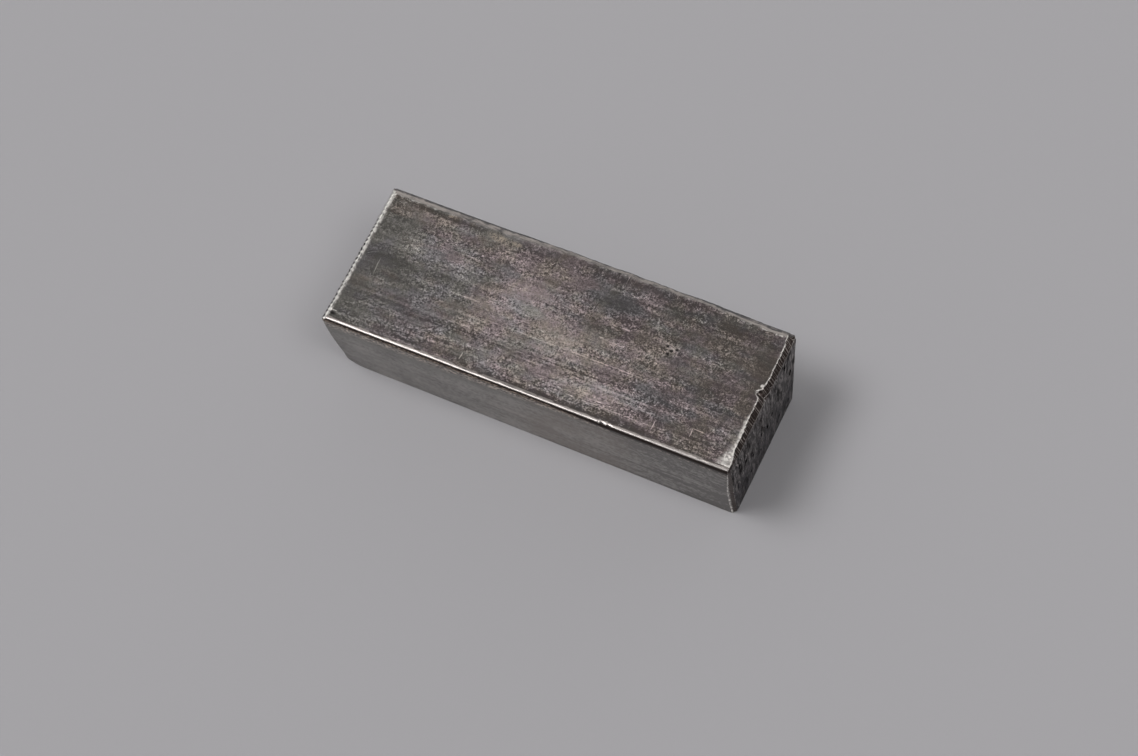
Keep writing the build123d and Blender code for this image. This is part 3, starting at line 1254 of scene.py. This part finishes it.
@dataclass(frozen=True)
class CastSide(Finish):
    """The sloping side walls: smooth grey metal with faint lengthways scratches.

    A speckled band of dark and ochre lies below the front round, dark alone towards the
    right end, and one long scratch runs at about half the height of the front wall.
    """

    clean: Triple = (0.44, 0.42, 0.398)
    tarnished: Metal = Metal((0.203, 0.194, 0.183), 0.42)
    ochre: Triple = (0.82, 0.72, 0.62)
    scratched: Triple = (0.66, 0.61, 0.57)
    warm: Triple = (0.35, 0.31, 0.28)
    green: Triple = (0.24, 0.24, 0.215)
    dark: Triple = (0.085, 0.07, 0.065)
    plain_share: float = 0.4
    clouds: Grain = Grain(4.0, 3.0)
    scratches: Grain = Grain(0.7, 4.0, 0.7, (0.05, 0.05, 1.0))
    grain: Grain = Grain(0.5, 3.0, 0.6)
    flecks: Grain = Grain(0.24, 2.0, 0.7, (0.7, 0.7, 1.0))
    wander: Grain = Grain(1.0, 2.0, 0.5, (0.3, 0.3, 0.0), gain=0.4)
    cloud_gain: float = 1.4
    grain_gain: Ramp = (-18.0, 8.0, 1.0, 2.4)
    scratch_gain: Ramp = (-18.0, 10.0, 0.8, 3.2)
    fleck_gain: Ramp = (4.0, 9.0, 0.5, 2.0)
    darker_to_right: Ramp = (4.0, 24.0, 0.0, 0.6)
    darker_to_left: Ramp = (-19.0, -24.0, 0.0, 0.25)
    at_front: Ramp = (3.0, -8.5)
    line_breaks: Grain = Grain(0.6, 2.0, 0.5, (0.05, 0.05, 1.0), ramp=(-0.1, 0.1))
    line_height: float = 5.5
    line_below: float = 0.2
    line_above: float = 0.25
    line_start: Ramp = (-14.0, -10.0)
    line_strength: float = 0.6
    band_reach: Ramp = (-12.0, 10.0, 1.6, 0.55)
    band_ramp: Ramp = (1.15, 0.3)
    band_rag: float = 1.1
    band_unseen: float = 0.25
    dark_flecks: Ramp = (0.02, -0.08, 0.0, 0.9)
    ochre_flecks: Ramp = (0.0, 0.09, 0.0, 0.95)
    shade_ramp: Ramp = (0.75, 0.2)
    shade_start: Ramp = (8.0, 13.0, 0.0, 0.75)
    warm_start: Ramp = (-8.0, 1.0)
    warm_end: Ramp = (17.0, 8.0)
    warm_clouds: Ramp = (-0.15, 0.15, 0.15, 0.6)
    green_below: Ramp = (2.6, 1.3)
    green_above: Ramp = (0.5, 1.2, 0.0, 0.5)
    scratch_relief: float = 0.02
    grain_relief: float = 0.01

    def build(self, form: BarForm) -> bpy.types.Material:
        """Lay down the shader: the plain wall, then its warm middle, scratch and upper band.

        Args:
            form: the bar's sizes.

        Returns:
            The finished material.
        """
        sheet = BarSheet("cast_side", form)
        cloud = sheet.noise(sheet.place, self.clouds)
        scratch = sheet.noise(sheet.place, self.scratches)
        grain = sheet.noise(sheet.place, self.grain)
        fleck = sheet.noise(sheet.place, self.flecks)
        share = sheet.share(sheet.total(
            self.plain_share,
            sheet.product(cloud, self.cloud_gain),
            sheet.product(grain, sheet.rise(sheet.x, *self.grain_gain)),
            sheet.product(scratch, sheet.rise(sheet.x, *self.scratch_gain)),
            sheet.product(fleck, sheet.rise(sheet.z, *self.fleck_gain)),
            sheet.rise(sheet.x, *self.darker_to_right),
            sheet.rise(sheet.x, *self.darker_to_left),
        ))
        front = sheet.rise(sheet.y, *self.at_front)
        height = sheet.total(sheet.z, sheet.noise(sheet.place, self.wander))
        line = sheet.product(
            sheet.rise(height, self.line_height - self.line_below, self.line_height),
            sheet.rise(height, self.line_height + self.line_above, self.line_height),
            sheet.noise(sheet.place, self.line_breaks),
            sheet.rise(sheet.x, *self.line_start),
            front,
            self.line_strength,
        )
        below_round = form.height - form.front_top.on_b
        under = sheet.total(below_round, sheet.product(height, -1.0))
        under = sheet.math("DIVIDE", under, sheet.rise(sheet.x, *self.band_reach))
        band = sheet.rise(sheet.total(under, sheet.product(grain, self.band_rag)), *self.band_ramp)
        band = sheet.product(band, sheet.blend(self.band_unseen, 1.0, front))
        shaded = sheet.product(
            sheet.rise(under, *self.shade_ramp), sheet.rise(sheet.x, *self.shade_start), front
        )
        warm = sheet.product(
            sheet.rise(sheet.x, *self.warm_start),
            sheet.rise(sheet.x, *self.warm_end),
            sheet.rise(cloud, *self.warm_clouds),
        )
        green = sheet.product(sheet.rise(under, *self.green_below), sheet.rise(under, *self.green_above))
        dark = sheet.product(band, sheet.rise(fleck, *self.dark_flecks))
        ochre = sheet.product(band, sheet.rise(fleck, *self.ochre_flecks))
        colour = sheet.tint(self.clean, self.tarnished.colour, share)
        layers = (
            (self.warm, warm), (self.green, green), (self.scratched, line),
            (self.dark, dark), (self.ochre, ochre), (self.dark, shaded),
        )
        for layer, cover in layers:
            colour = sheet.tint(colour, layer, cover)
        relief = sheet.weighed((scratch, self.scratch_relief), (grain, self.grain_relief))
        return sheet.paint(colour, self.tarnished.dullness, relief)


@dataclass(frozen=True)
class SawnEnd(Finish):
    """The right end: a sawn wall left dark, with upright marks and pits.

    The pits are marks in the wall's own plane, so their x is along the bar's Y and their
    y is the height above the foot.
    """

    dark: Metal = Metal((0.066, 0.0595, 0.058), 0.45)
    low: Triple = (0.066, 0.0605, 0.0665)
    light: Metal = Metal((0.50, 0.46, 0.443), 0.36)
    brown: Triple = (0.07, 0.052, 0.046)
    pit: Triple = (0.006, 0.0055, 0.0055)
    light_share: float = 0.06
    streaks: Grain = Grain(0.36, 3.0, 0.7, (1.0, 1.0, 0.3))
    hairs: Grain = Grain(0.6, 2.0, 0.55, (1.0, 1.0, 0.22))
    hair_gaps: Grain = Grain(0.9, 2.0, 0.5, (1.0, 1.0, 0.3), ramp=(-0.08, 0.1))
    hair_width: float = 0.055
    clouds: Grain = Grain(2.5, 2.0, gain=0.3)
    hollows: Grain = Grain(0.75, 2.0, 0.5, (1.0, 1.0, 0.45), ramp=(-0.03, -0.12, 0.0, 0.55))
    livelier_to_top: Ramp = (2.0, 11.0, 0.55, 0.95)
    streak_gain: float = 4.2
    hair_gain: float = 0.7
    cut_pitch: float = 0.4
    cut_slant: float = 0.127
    cut_ramp: Ramp = (0.0, 0.12)
    cut_end: Ramp = (2.2, 0.9, 0.0, 0.7)
    deeper_to_top: Ramp = (1.0, 8.0, 0.6, 1.0)
    pit_floor: Ramp = (-0.25, 0.1, 0.85, 0.6)
    deepest: float = 0.95
    low_ramp: Ramp = (8.0, 4.0)
    brown_end: Ramp = (1.6, 0.7, 0.0, 0.75)
    brown_between: Ramp = (0.6, 0.1)
    streak_relief: float = 0.08
    hair_relief: float = 0.02
    pit_relief: float = -0.1
    pits: tuple[Mark, ...] = (
        Mark(5.95, 10.9, 0.26, 0.8, 1.5, turn=-6.0, core=0.5),
        Mark(3.3, 10.4, 0.2, 0.7, 1.5, turn=-6.0, core=0.5),
        Mark(5.35, 11.8, 0.25, 0.4, 1.3, turn=-6.0, core=0.5), Mark(2.3, 6.3, 0.3, 0.45, 1.3, core=0.5),
        Mark(0.95, 5.5, 0.2, 0.45, 1.2, core=0.5), Mark(-0.8, 6.6, 0.3, 0.45, 1.2, core=0.5),
        Mark(7.85, 7.1, 0.25, 0.75, 1.5, core=0.5), Mark(7.55, 1.7, 0.25, 0.5, 1.3, core=0.5),
        Mark(-3.3, 5.7, 0.3, 0.4, 1.3, core=0.5), Mark(-4.05, 2.8, 0.3, 0.45, 1.3, core=0.5),
        Mark(-6.85, 9.6, 0.28, 0.6, 1.5, turn=-20.0, core=0.5),
        Mark(-7.3, 11.0, 0.4, 0.4, 1.4, core=0.5),
        Mark(-5.1, 7.8, 0.28, 0.6, 1.4, turn=-15.0, core=0.5), Mark(-1.1, 3.1, 0.2, 0.5, 1.2, core=0.5),
        Mark(-5.6, 11.9, 0.25, 0.3, 1.2, core=0.5), Mark(4.6, 2.4, 0.2, 0.5, 1.0, core=0.5),
    )

    def build(self, form: BarForm) -> bpy.types.Material:
        """Lay down the shader: bright streaks, hairs and file cuts on the dark, then the pits.

        Args:
            form: the bar's sizes.

        Returns:
            The finished material.
        """
        sheet = BarSheet("sawn_end", form)
        streak = sheet.noise(sheet.place, self.streaks)
        hairs = sheet.worms(sheet.place, self.hairs, self.hair_width)
        hairs = sheet.product(hairs, sheet.noise(sheet.place, self.hair_gaps))
        from_top = sheet.inside(Wall.TOP)
        near_top = sheet.rise(sheet.z, *self.livelier_to_top)
        slant = sheet.total(sheet.y, sheet.product(from_top, -self.cut_slant))
        cuts = sheet.rise(sheet.line_noise(slant, self.cut_pitch), *self.cut_ramp)
        cuts = sheet.product(cuts, sheet.rise(from_top, *self.cut_end))
        share = sheet.share(sheet.total(
            self.light_share,
            sheet.product(streak, near_top, self.streak_gain),
            sheet.noise(sheet.place, self.clouds),
            sheet.product(hairs, near_top, self.hair_gain),
            cuts,
        ))
        deep = sheet.weighed(
            (sheet.noise(sheet.place, self.hollows), sheet.rise(sheet.z, *self.deeper_to_top)),
            (sheet.marks(sheet.y, sheet.z, self.pits), sheet.rise(streak, *self.pit_floor)),
        )
        deep = sheet.capped(deep, self.deepest)
        brown = sheet.product(
            sheet.rise(from_top, *self.brown_end), sheet.rise(cuts, *self.brown_between)
        )
        colour = sheet.tint(self.dark.colour, self.low, sheet.rise(sheet.z, *self.low_ramp))
        colour = sheet.tint(colour, self.light.colour, share)
        colour = sheet.tint(colour, self.brown, brown)
        colour = sheet.tint(colour, self.pit, deep)
        dullness = sheet.blend(self.dark.dullness, self.light.dullness, share)
        relief = sheet.weighed(
            (streak, self.streak_relief), (hairs, self.hair_relief), (deep, self.pit_relief)
        )
        return sheet.paint(colour, dullness, relief, sheet.tint(WHITE, BLACK, deep))


@dataclass(frozen=True)
class FiledBevel(Finish):
    """The bevel round the right end: brown, with slanting file marks and bright borders.

    On the two upright edges the marks are faint and the metal is a little lighter.
    """

    brown: Metal = Metal((0.048, 0.037, 0.034), 0.42)
    upright_brown: Triple = (0.085, 0.068, 0.060)
    cut: Triple = (0.38, 0.33, 0.305)
    bare: Metal = Metal((0.97, 0.94, 0.90), 0.75)
    cut_pitch: float = 0.21
    cut_slant: float = 0.2
    cut_wander: float = 0.1
    cut_ramp: Ramp = (0.0, 0.13)
    wander: Grain = Grain(0.9, 2.0)
    pressure: Grain = Grain(0.6, 2.0, ramp=(-0.15, 0.12, 0.25, 1.0))
    upright_from: Ramp = (0.62, 0.72)
    upright_pressure: float = 0.2
    rag: Grain = Grain(0.4, 2.0, gain=0.45)
    sparkle: Grain = Grain(0.3, 1.0, ramp=(-0.12, 0.06, 0.35, 1.0))
    outer_border: float = 0.02
    outer_widths: tuple[float, float] = (0.09, 0.42)
    inner_border: Ramp = (0.88, 0.97, 0.0, 0.5)
    relief: float = 0.05

    def build(self, form: BarForm) -> bpy.types.Material:
        """Lay down the shader: brown metal, the file's cuts, then the bright borders.

        Args:
            form: the bar's sizes.

        Returns:
            The finished material.
        """
        sheet = BarSheet("filed_bevel", form)
        from_top = sheet.inside(Wall.TOP)
        from_rim = sheet.math("MINIMUM", from_top, sheet.inside(Wall.FRONT))
        share = sheet.down_bevel(sheet.inside(Wall.RIGHT), from_rim, form.right_end)
        upright = sheet.rise(from_top, *self.upright_from)
        along = sheet.blend(sheet.y, sheet.z, upright)
        wander = sheet.noise(sheet.place, self.wander)
        slant = sheet.weighed((share, self.cut_slant), (wander, self.cut_wander))
        cuts = sheet.line_noise(sheet.total(along, slant), self.cut_pitch)
        depth = sheet.product(
            sheet.rise(cuts, *self.cut_ramp),
            sheet.noise(sheet.place, self.pressure),
            sheet.blend(1.0, self.upright_pressure, upright),
        )
        border = sheet.total(share, sheet.noise(sheet.place, self.rag))
        outer = sheet.rise(border, sheet.blend(*self.outer_widths, upright), self.outer_border)
        outer = sheet.product(outer, sheet.noise(sheet.place, self.sparkle))
        inner = sheet.product(sheet.rise(border, *self.inner_border), upright)
        colour = sheet.tint(self.brown.colour, self.upright_brown, upright)
        colour = sheet.tint(colour, self.cut, depth)
        colour = sheet.tint(colour, self.bare.colour, sheet.math("MAXIMUM", outer, inner))
        dullness = sheet.blend(self.brown.dullness, self.bare.dullness, outer)
        relief = sheet.product(sheet.total(cuts, wander), self.relief)
        return sheet.paint(colour, dullness, relief)


@dataclass(frozen=True)
class RubbedRound(Finish):
    """The rounded front edge: bright where hands rub it, with a painted sheen on its upper curve,
    then a painted dark reflection, brown and ochre below.

    Angle is how far the round has turned, from 0 degrees on the top to 90 on the front
    wall. The beads are painted glints, light spots that stand for the highlight on small
    nicks: each is its place along the bar and its half length.
    """

    bare: Metal = Metal((0.175, 0.161, 0.155), 0.2)
    tarnish: Metal = Metal((0.14, 0.12, 0.115), 0.34)
    # painted sheen: a lighter colour on the round's upper curve, where the lamp's highlight fades into the
    # top
    shoulder_sheen: Triple = (0.40, 0.36, 0.34)
    # painted dark reflection: a near-black colour where the lower round mirrors the dim room in front
    dark_reflection: Triple = (0.045, 0.036, 0.032)
    brown: Triple = (0.085, 0.066, 0.058)
    ochre: Triple = (0.66, 0.54, 0.43)
    # painted glints: light spots that stand for the highlight on two small nicks of the round
    painted_glint: Metal = Metal((0.38, 0.35, 0.33), 0.36)
    beads: tuple[tuple[float, float], ...] = ((9.35, 0.14), (10.2, 0.09))
    glint_core_share: float = 0.4
    right_dullness: float = 0.36
    duller_to_right: Ramp = (11.0, 22.0)
    wander: Grain = Grain(0.8, 3.0, 0.6, (0.5, 1.0, 1.0), gain=26.0)
    grain: Grain = Grain(0.25, 2.0, 0.5, (0.4, 1.0, 1.0))
    flecks: Grain = Grain(0.24, 2.0, 0.7, (0.7, 1.0, 1.0), ramp=(-0.02, 0.1))
    shoulder_sheen_from: Ramp = (-0.3, 0.9)
    bare_from: Ramp = (3.0, 11.0)
    bright_from: Ramp = (1.0, 12.0)
    bright_to: float = 28.0
    bright_ends: tuple[float, float] = (37.0, 42.0)
    bright_grain: Ramp = (-0.2, 0.1, 0.6, 1.0)
    broader_to_right: Ramp = (13.0, 22.0)
    broader_to_left: Ramp = (-17.0, -23.0, 0.0, 0.5)
    faded_from: Ramp = (12.0, 14.0)
    dark_reflection_from: Ramp = (30.0, 38.0)
    brown_from: Ramp = (2.0, 12.0, 52.0, 92.0)
    brown_within: Ramp = (0.0, 12.0)
    ochre_within: Ramp = (0.0, 14.0, 0.0, 0.85)
    glint_to: Ramp = (42.0, 30.0)
    relief: float = 0.008

    def build(self, form: BarForm) -> bpy.types.Material:
        """Lay down the shader, from the top wall's edge down to the front wall.

        Args:
            form: the bar's sizes.

        Returns:
            The finished material.
        """
        sheet = BarSheet("rubbed_round", form)
        grain = sheet.noise(sheet.place, self.grain)
        angle = self.turned(sheet)
        broad = sheet.total(
            sheet.rise(sheet.x, *self.broader_to_right), sheet.rise(sheet.x, *self.broader_to_left)
        )
        bright = sheet.product(
            sheet.rise(angle, *self.bright_from),
            sheet.rise(angle, sheet.blend(*self.bright_ends, broad), self.bright_to),
            sheet.rise(grain, *self.bright_grain),
        )
        faded = sheet.product(sheet.rise(angle, *self.faded_from), sheet.rise(bright, 1.0, 0.0))
        below = sheet.math("SUBTRACT", angle, sheet.rise(sheet.x, *self.brown_from))
        flecks = sheet.noise(sheet.place, self.flecks)
        # the painted sheen on the round's upper curve
        colour = sheet.tint(self.tarnish.colour, self.shoulder_sheen, sheet.rise(angle, *self.shoulder_sheen_from))
        layers = (
            (self.bare.colour, sheet.rise(angle, *self.bare_from)),
            (self.tarnish.colour, faded),
            # the painted dark reflection on the lower round
            (self.dark_reflection, sheet.rise(angle, *self.dark_reflection_from)),
            (self.brown, sheet.rise(below, *self.brown_within)),
            (self.ochre, sheet.product(sheet.rise(below, *self.ochre_within), flecks)),
        )
        for layer, cover in layers:
            colour = sheet.tint(colour, layer, cover)
        to_right = sheet.rise(sheet.x, *self.duller_to_right)
        smooth = sheet.blend(self.bare.dullness, self.right_dullness, to_right)
        dullness = sheet.blend(self.tarnish.dullness, smooth, bright)
        # paint each glint in a light colour that stands in for the highlight on a nick
        for centre, reach in self.beads:
            away = sheet.math("ABSOLUTE", sheet.total(sheet.x, -centre))
            painted_glint = sheet.rise(away, reach, reach * self.glint_core_share)
            painted_glint = sheet.product(painted_glint, sheet.rise(angle, *self.glint_to))
            colour = sheet.tint(colour, self.painted_glint.colour, painted_glint)
            dullness = sheet.blend(dullness, self.painted_glint.dullness, painted_glint)
        return sheet.paint(colour, dullness, sheet.product(grain, self.relief))

    def turned(self, sheet: BarSheet) -> Socket:
        """Give how far the round has turned at each place, uneven as hands leave it.

        Args:
            sheet: the round's shader.

        Returns:
            The angle in degrees. The section is a curve of power 3, so the slope of its
            normal goes with the squares of the two distances.
        """
        across, down = sheet.across_edge(
            sheet.inside(Wall.FRONT), sheet.inside(Wall.TOP), sheet.form.front_top
        )
        angle = sheet.math("ARCTAN2", sheet.product(across, across), sheet.product(down, down))
        angle = sheet.math("DEGREES", angle)
        return sheet.total(angle, sheet.noise(sheet.place, self.wander))


@dataclass(frozen=True)
class BackBevel(Finish):
    """The bevel along the back: rubbed pale beside its ridge and dark where it meets the wall."""

    pale: Metal = Metal((0.37, 0.335, 0.31), 0.42)
    dark: Triple = (0.10, 0.095, 0.095)
    grain: Grain = Grain(0.4, 3.0, 0.6, (0.5, 1.0, 1.0))
    grain_gain: float = 2.6
    nick_pitch: float = 1.2
    nick_gain: float = 1.2
    rim_from: Ramp = (0.56, 0.78)
    rim_rag: float = 0.12
    wider_to_right: Ramp = (12.0, 17.0, 0.0, 0.25)
    wider_to_left: Ramp = (-14.0, -18.0, 0.0, 0.1)
    paler_to_ends: Ramp = (14.0, 22.0, 0.35, -0.1)
    relief: float = 0.02

    def build(self, form: BarForm) -> bpy.types.Material:
        """Lay down the shader: the pale metal and how dark it is from place to place.

        Args:
            form: the bar's sizes.

        Returns:
            The finished material.
        """
        sheet = BarSheet("back_bevel", form)
        grain = sheet.noise(sheet.place, self.grain)
        nicks = sheet.line_noise(sheet.x, self.nick_pitch)
        lower = sheet.down_bevel(sheet.inside(Wall.BACK), sheet.inside(Wall.TOP), form.back_top)
        rim = sheet.total(
            lower,
            sheet.product(grain, self.rim_rag),
            sheet.rise(sheet.x, *self.wider_to_right),
            sheet.rise(sheet.x, *self.wider_to_left),
        )
        share = sheet.total(
            sheet.rise(sheet.math("ABSOLUTE", sheet.x), *self.paler_to_ends),
            sheet.weighed((grain, self.grain_gain), (nicks, self.nick_gain)),
            sheet.rise(rim, *self.rim_from),
        )
        colour = sheet.tint(self.pale.colour, self.dark, sheet.share(share))
        return sheet.paint(colour, self.pale.dullness, sheet.product(grain, self.relief))


@dataclass(frozen=True)
class NickedBevel(Finish):
    """The left end's bevel: a bright beaded ridge, with dark nicks side by side below it."""

    pale: Metal = Metal((0.46, 0.45, 0.44), 0.4)
    bright: Metal = Metal((0.85, 0.83, 0.78), 0.28)
    nick: Triple = (0.03, 0.028, 0.028)
    grain: Grain = Grain(0.4, 3.0, 0.6)
    spacing: Grain = Grain(1.5, 1.0, gain=9.0)
    rag: float = 0.25
    fainter_to_back: Ramp = (6.5, 3.0, 0.2, 1.0)
    ridge_to: Ramp = (0.62, 0.4)
    ridge_beads: Ramp = (-1.0, 0.2, 0.3, 1.0)
    nick_from: Ramp = (0.45, 0.62)
    nick_beads: Ramp = (0.3, -0.3, 0.2, 1.0)
    relief: float = 0.03

    def build(self, form: BarForm) -> bpy.types.Material:
        """Lay down the shader: pale metal, the beads on the ridge, then the nicks below.

        Args:
            form: the bar's sizes.

        Returns:
            The finished material.
        """
        sheet = BarSheet("left_bevel", form)
        grain = sheet.noise(sheet.place, self.grain)
        beads = sheet.wave(sheet.y, NICK_PITCH, sheet.noise(sheet.place, self.spacing))
        outer = sheet.down_bevel(sheet.inside(Wall.LEFT), sheet.inside(Wall.TOP), form.left_end)
        outer = sheet.total(outer, sheet.product(grain, self.rag))
        strength = sheet.rise(sheet.y, *self.fainter_to_back)
        ridge = sheet.product(sheet.rise(outer, *self.ridge_to), sheet.rise(beads, *self.ridge_beads))
        nicked = sheet.product(
            sheet.rise(outer, *self.nick_from), sheet.rise(beads, *self.nick_beads), strength
        )
        colour = sheet.tint(self.pale.colour, self.bright.colour, ridge)
        colour = sheet.tint(colour, self.nick, nicked)
        dullness = sheet.blend(self.pale.dullness, self.bright.dullness, ridge)
        relief = sheet.product(sheet.total(sheet.product(beads, strength), grain), self.relief)
        return sheet.paint(colour, dullness, relief)


@dataclass(frozen=True)
class Paper:
    """The pale paper that the bar lies on."""

    colour: Triple = (0.355, 0.347, 0.36)
    dullness: float = 0.9
    reach: float = 3.0

    def build(self) -> bpy.types.Object:
        """Lay the paper as one large square at the height of the bar's foot.

        Returns:
            The paper's object.
        """
        mesh = bpy.data.meshes.new("paper")
        reach = self.reach
        corners = [(x * reach, y * reach, 0.0) for x, y in ((-1, -1), (1, -1), (1, 1), (-1, 1))]
        mesh.from_pydata(corners, [], [(0, 1, 2, 3)])
        sheet = bpy.data.objects.new("paper", mesh)
        bpy.context.scene.collection.objects.link(sheet)
        material = bpy.data.materials.new("paper")
        material.use_nodes = True
        shader = material.node_tree.nodes["Principled BSDF"]
        shader.inputs["Base Color"].default_value = (*self.colour, 1.0)
        shader.inputs["Roughness"].default_value = self.dullness
        shader.inputs["Specular IOR Level"].default_value = 0.0
        mesh.materials.append(material)
        return sheet


@dataclass(frozen=True)
class Viewpoint:
    """Where the picture is taken from.

    Angles are in degrees and lengths in metres, but for the lens and the sensor, which are
    in millimetres as on any camera.
    """

    azimuth: float = 35.168
    elevation: float = 62.13
    roll: float = -11.162
    distance: float = 0.38715
    aim: Triple = (0.00007, 0.0002, 0.00007)
    lens: float = 106.98
    sensor: float = 36.0
    nearest: float = 0.01
    farthest: float = 20.0

    def build(self) -> bpy.types.Object:
        """Set up the camera and make it the scene's own.

        Returns:
            The camera's object.
        """
        camera = bpy.data.cameras.new("camera")
        camera.lens = self.lens
        camera.sensor_width = self.sensor
        camera.clip_start, camera.clip_end = self.nearest, self.farthest
        holder = bpy.data.objects.new("camera", camera)
        bpy.context.scene.collection.objects.link(holder)
        around, above = math.radians(self.azimuth), math.radians(self.elevation)
        back = Vector((
            math.sin(around) * math.cos(above),
            -math.cos(around) * math.cos(above),
            math.sin(above),
        ))
        holder.location = Vector(self.aim) + back * self.distance
        level = (-back).to_track_quat("-Z", "Y").to_matrix()
        holder.rotation_mode = "QUATERNION"
        turned = level @ Matrix.Rotation(math.radians(self.roll), 3, "Z")
        holder.rotation_quaternion = turned.to_quaternion()
        bpy.context.scene.camera = holder
        return holder


@dataclass(frozen=True)
class SkyGlow:
    """A soft bright area of the room: a direction, how bright, and its half width in degrees."""

    towards: Triple
    strength: float
    reach: float


@dataclass(frozen=True)
class Room:
    """The room round the table: two soft lamps overhead, and more light low down at the back."""

    plain: float = 0.25
    horizon: float = 1.2
    horizon_top: float = 0.628
    bright_side: Triple = (-0.818, 0.575, 0.0)
    bright_ramp: Ramp = (-0.5, 0.3)
    glows: tuple[SkyGlow, ...] = (
        SkyGlow((-0.434, -0.203, 0.878), 11.57, 18.0),
        SkyGlow((0.477, -0.164, 0.863), 5.65, 18.0),
    )

    def build(self) -> bpy.types.World:
        """Make the world's light from the direction that each ray comes from.

        Returns:
            The world, which the scene now has.
        """
        world = bpy.data.worlds.new("room")
        world.use_nodes = True
        sheet = NodeSheet(world.node_tree)
        place = sheet.put("ShaderNodeTexCoord", {}).outputs["Generated"]
        _, _, upward = sheet.axes(place)
        low = sheet.rise(upward, self.horizon_top, 0.0, 0.0, self.horizon)
        beside = sheet.rise(self.facing(sheet, place, self.bright_side), *self.bright_ramp)
        level = sheet.total(self.plain, sheet.product(low, beside))
        for glow in self.glows:
            near = self.facing(sheet, place, tuple(Vector(glow.towards).normalized()))
            rim = math.cos(math.radians(glow.reach))
            level = sheet.total(level, sheet.rise(near, rim, 1.0, 0.0, glow.strength))
        background = world.node_tree.nodes["Background"]
        world.node_tree.links.new(level, background.inputs["Color"])
        bpy.context.scene.world = world
        return world

    @staticmethod
    def facing(sheet: NodeSheet, place: Socket, towards: Triple) -> Socket:
        """Tell how much each direction points towards a given one, from -1 to 1."""
        node = sheet.put("ShaderNodeVectorMath", {0: place, 1: towards}, operation="DOT_PRODUCT")
        return node.outputs["Value"]


def main() -> None:
    """Build the bar, the paper, the light and the camera, one after another."""
    logging.basicConfig(level=logging.INFO, format="%(name)s: %(message)s")
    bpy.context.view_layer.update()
    form = BarForm()
    skin = IngotSkin(form).build()
    log.info("%s: %d points, %d quads", skin.name, len(skin.data.vertices), len(skin.data.polygons))
    finishes: dict[Zone, Finish] = {
        Zone.TOP: WornTop(),
        Zone.SIDE: CastSide(),
        Zone.SAWN_END: SawnEnd(),
        Zone.FILED_BEVEL: FiledBevel(),
        Zone.FRONT_ROUND: RubbedRound(),
        Zone.BACK_BEVEL: BackBevel(),
        Zone.LEFT_BEVEL: NickedBevel(),
    }
    for zone in Zone:
        material = finishes[zone].build(form)
        skin.data.materials.append(material)
        log.info("%s finished as %s", zone.name.lower(), material.name)
    paper = Paper().build()
    log.info("%s laid", paper.name)
    camera = Viewpoint().build()
    log.info("%s set at %s", camera.name, tuple(round(v, 4) for v in camera.location))
    room = Room().build()
    log.info("%s lit", room.name)
    bpy.context.scene.view_settings.view_transform = "Standard"


if __name__ == "__main__":
    main()
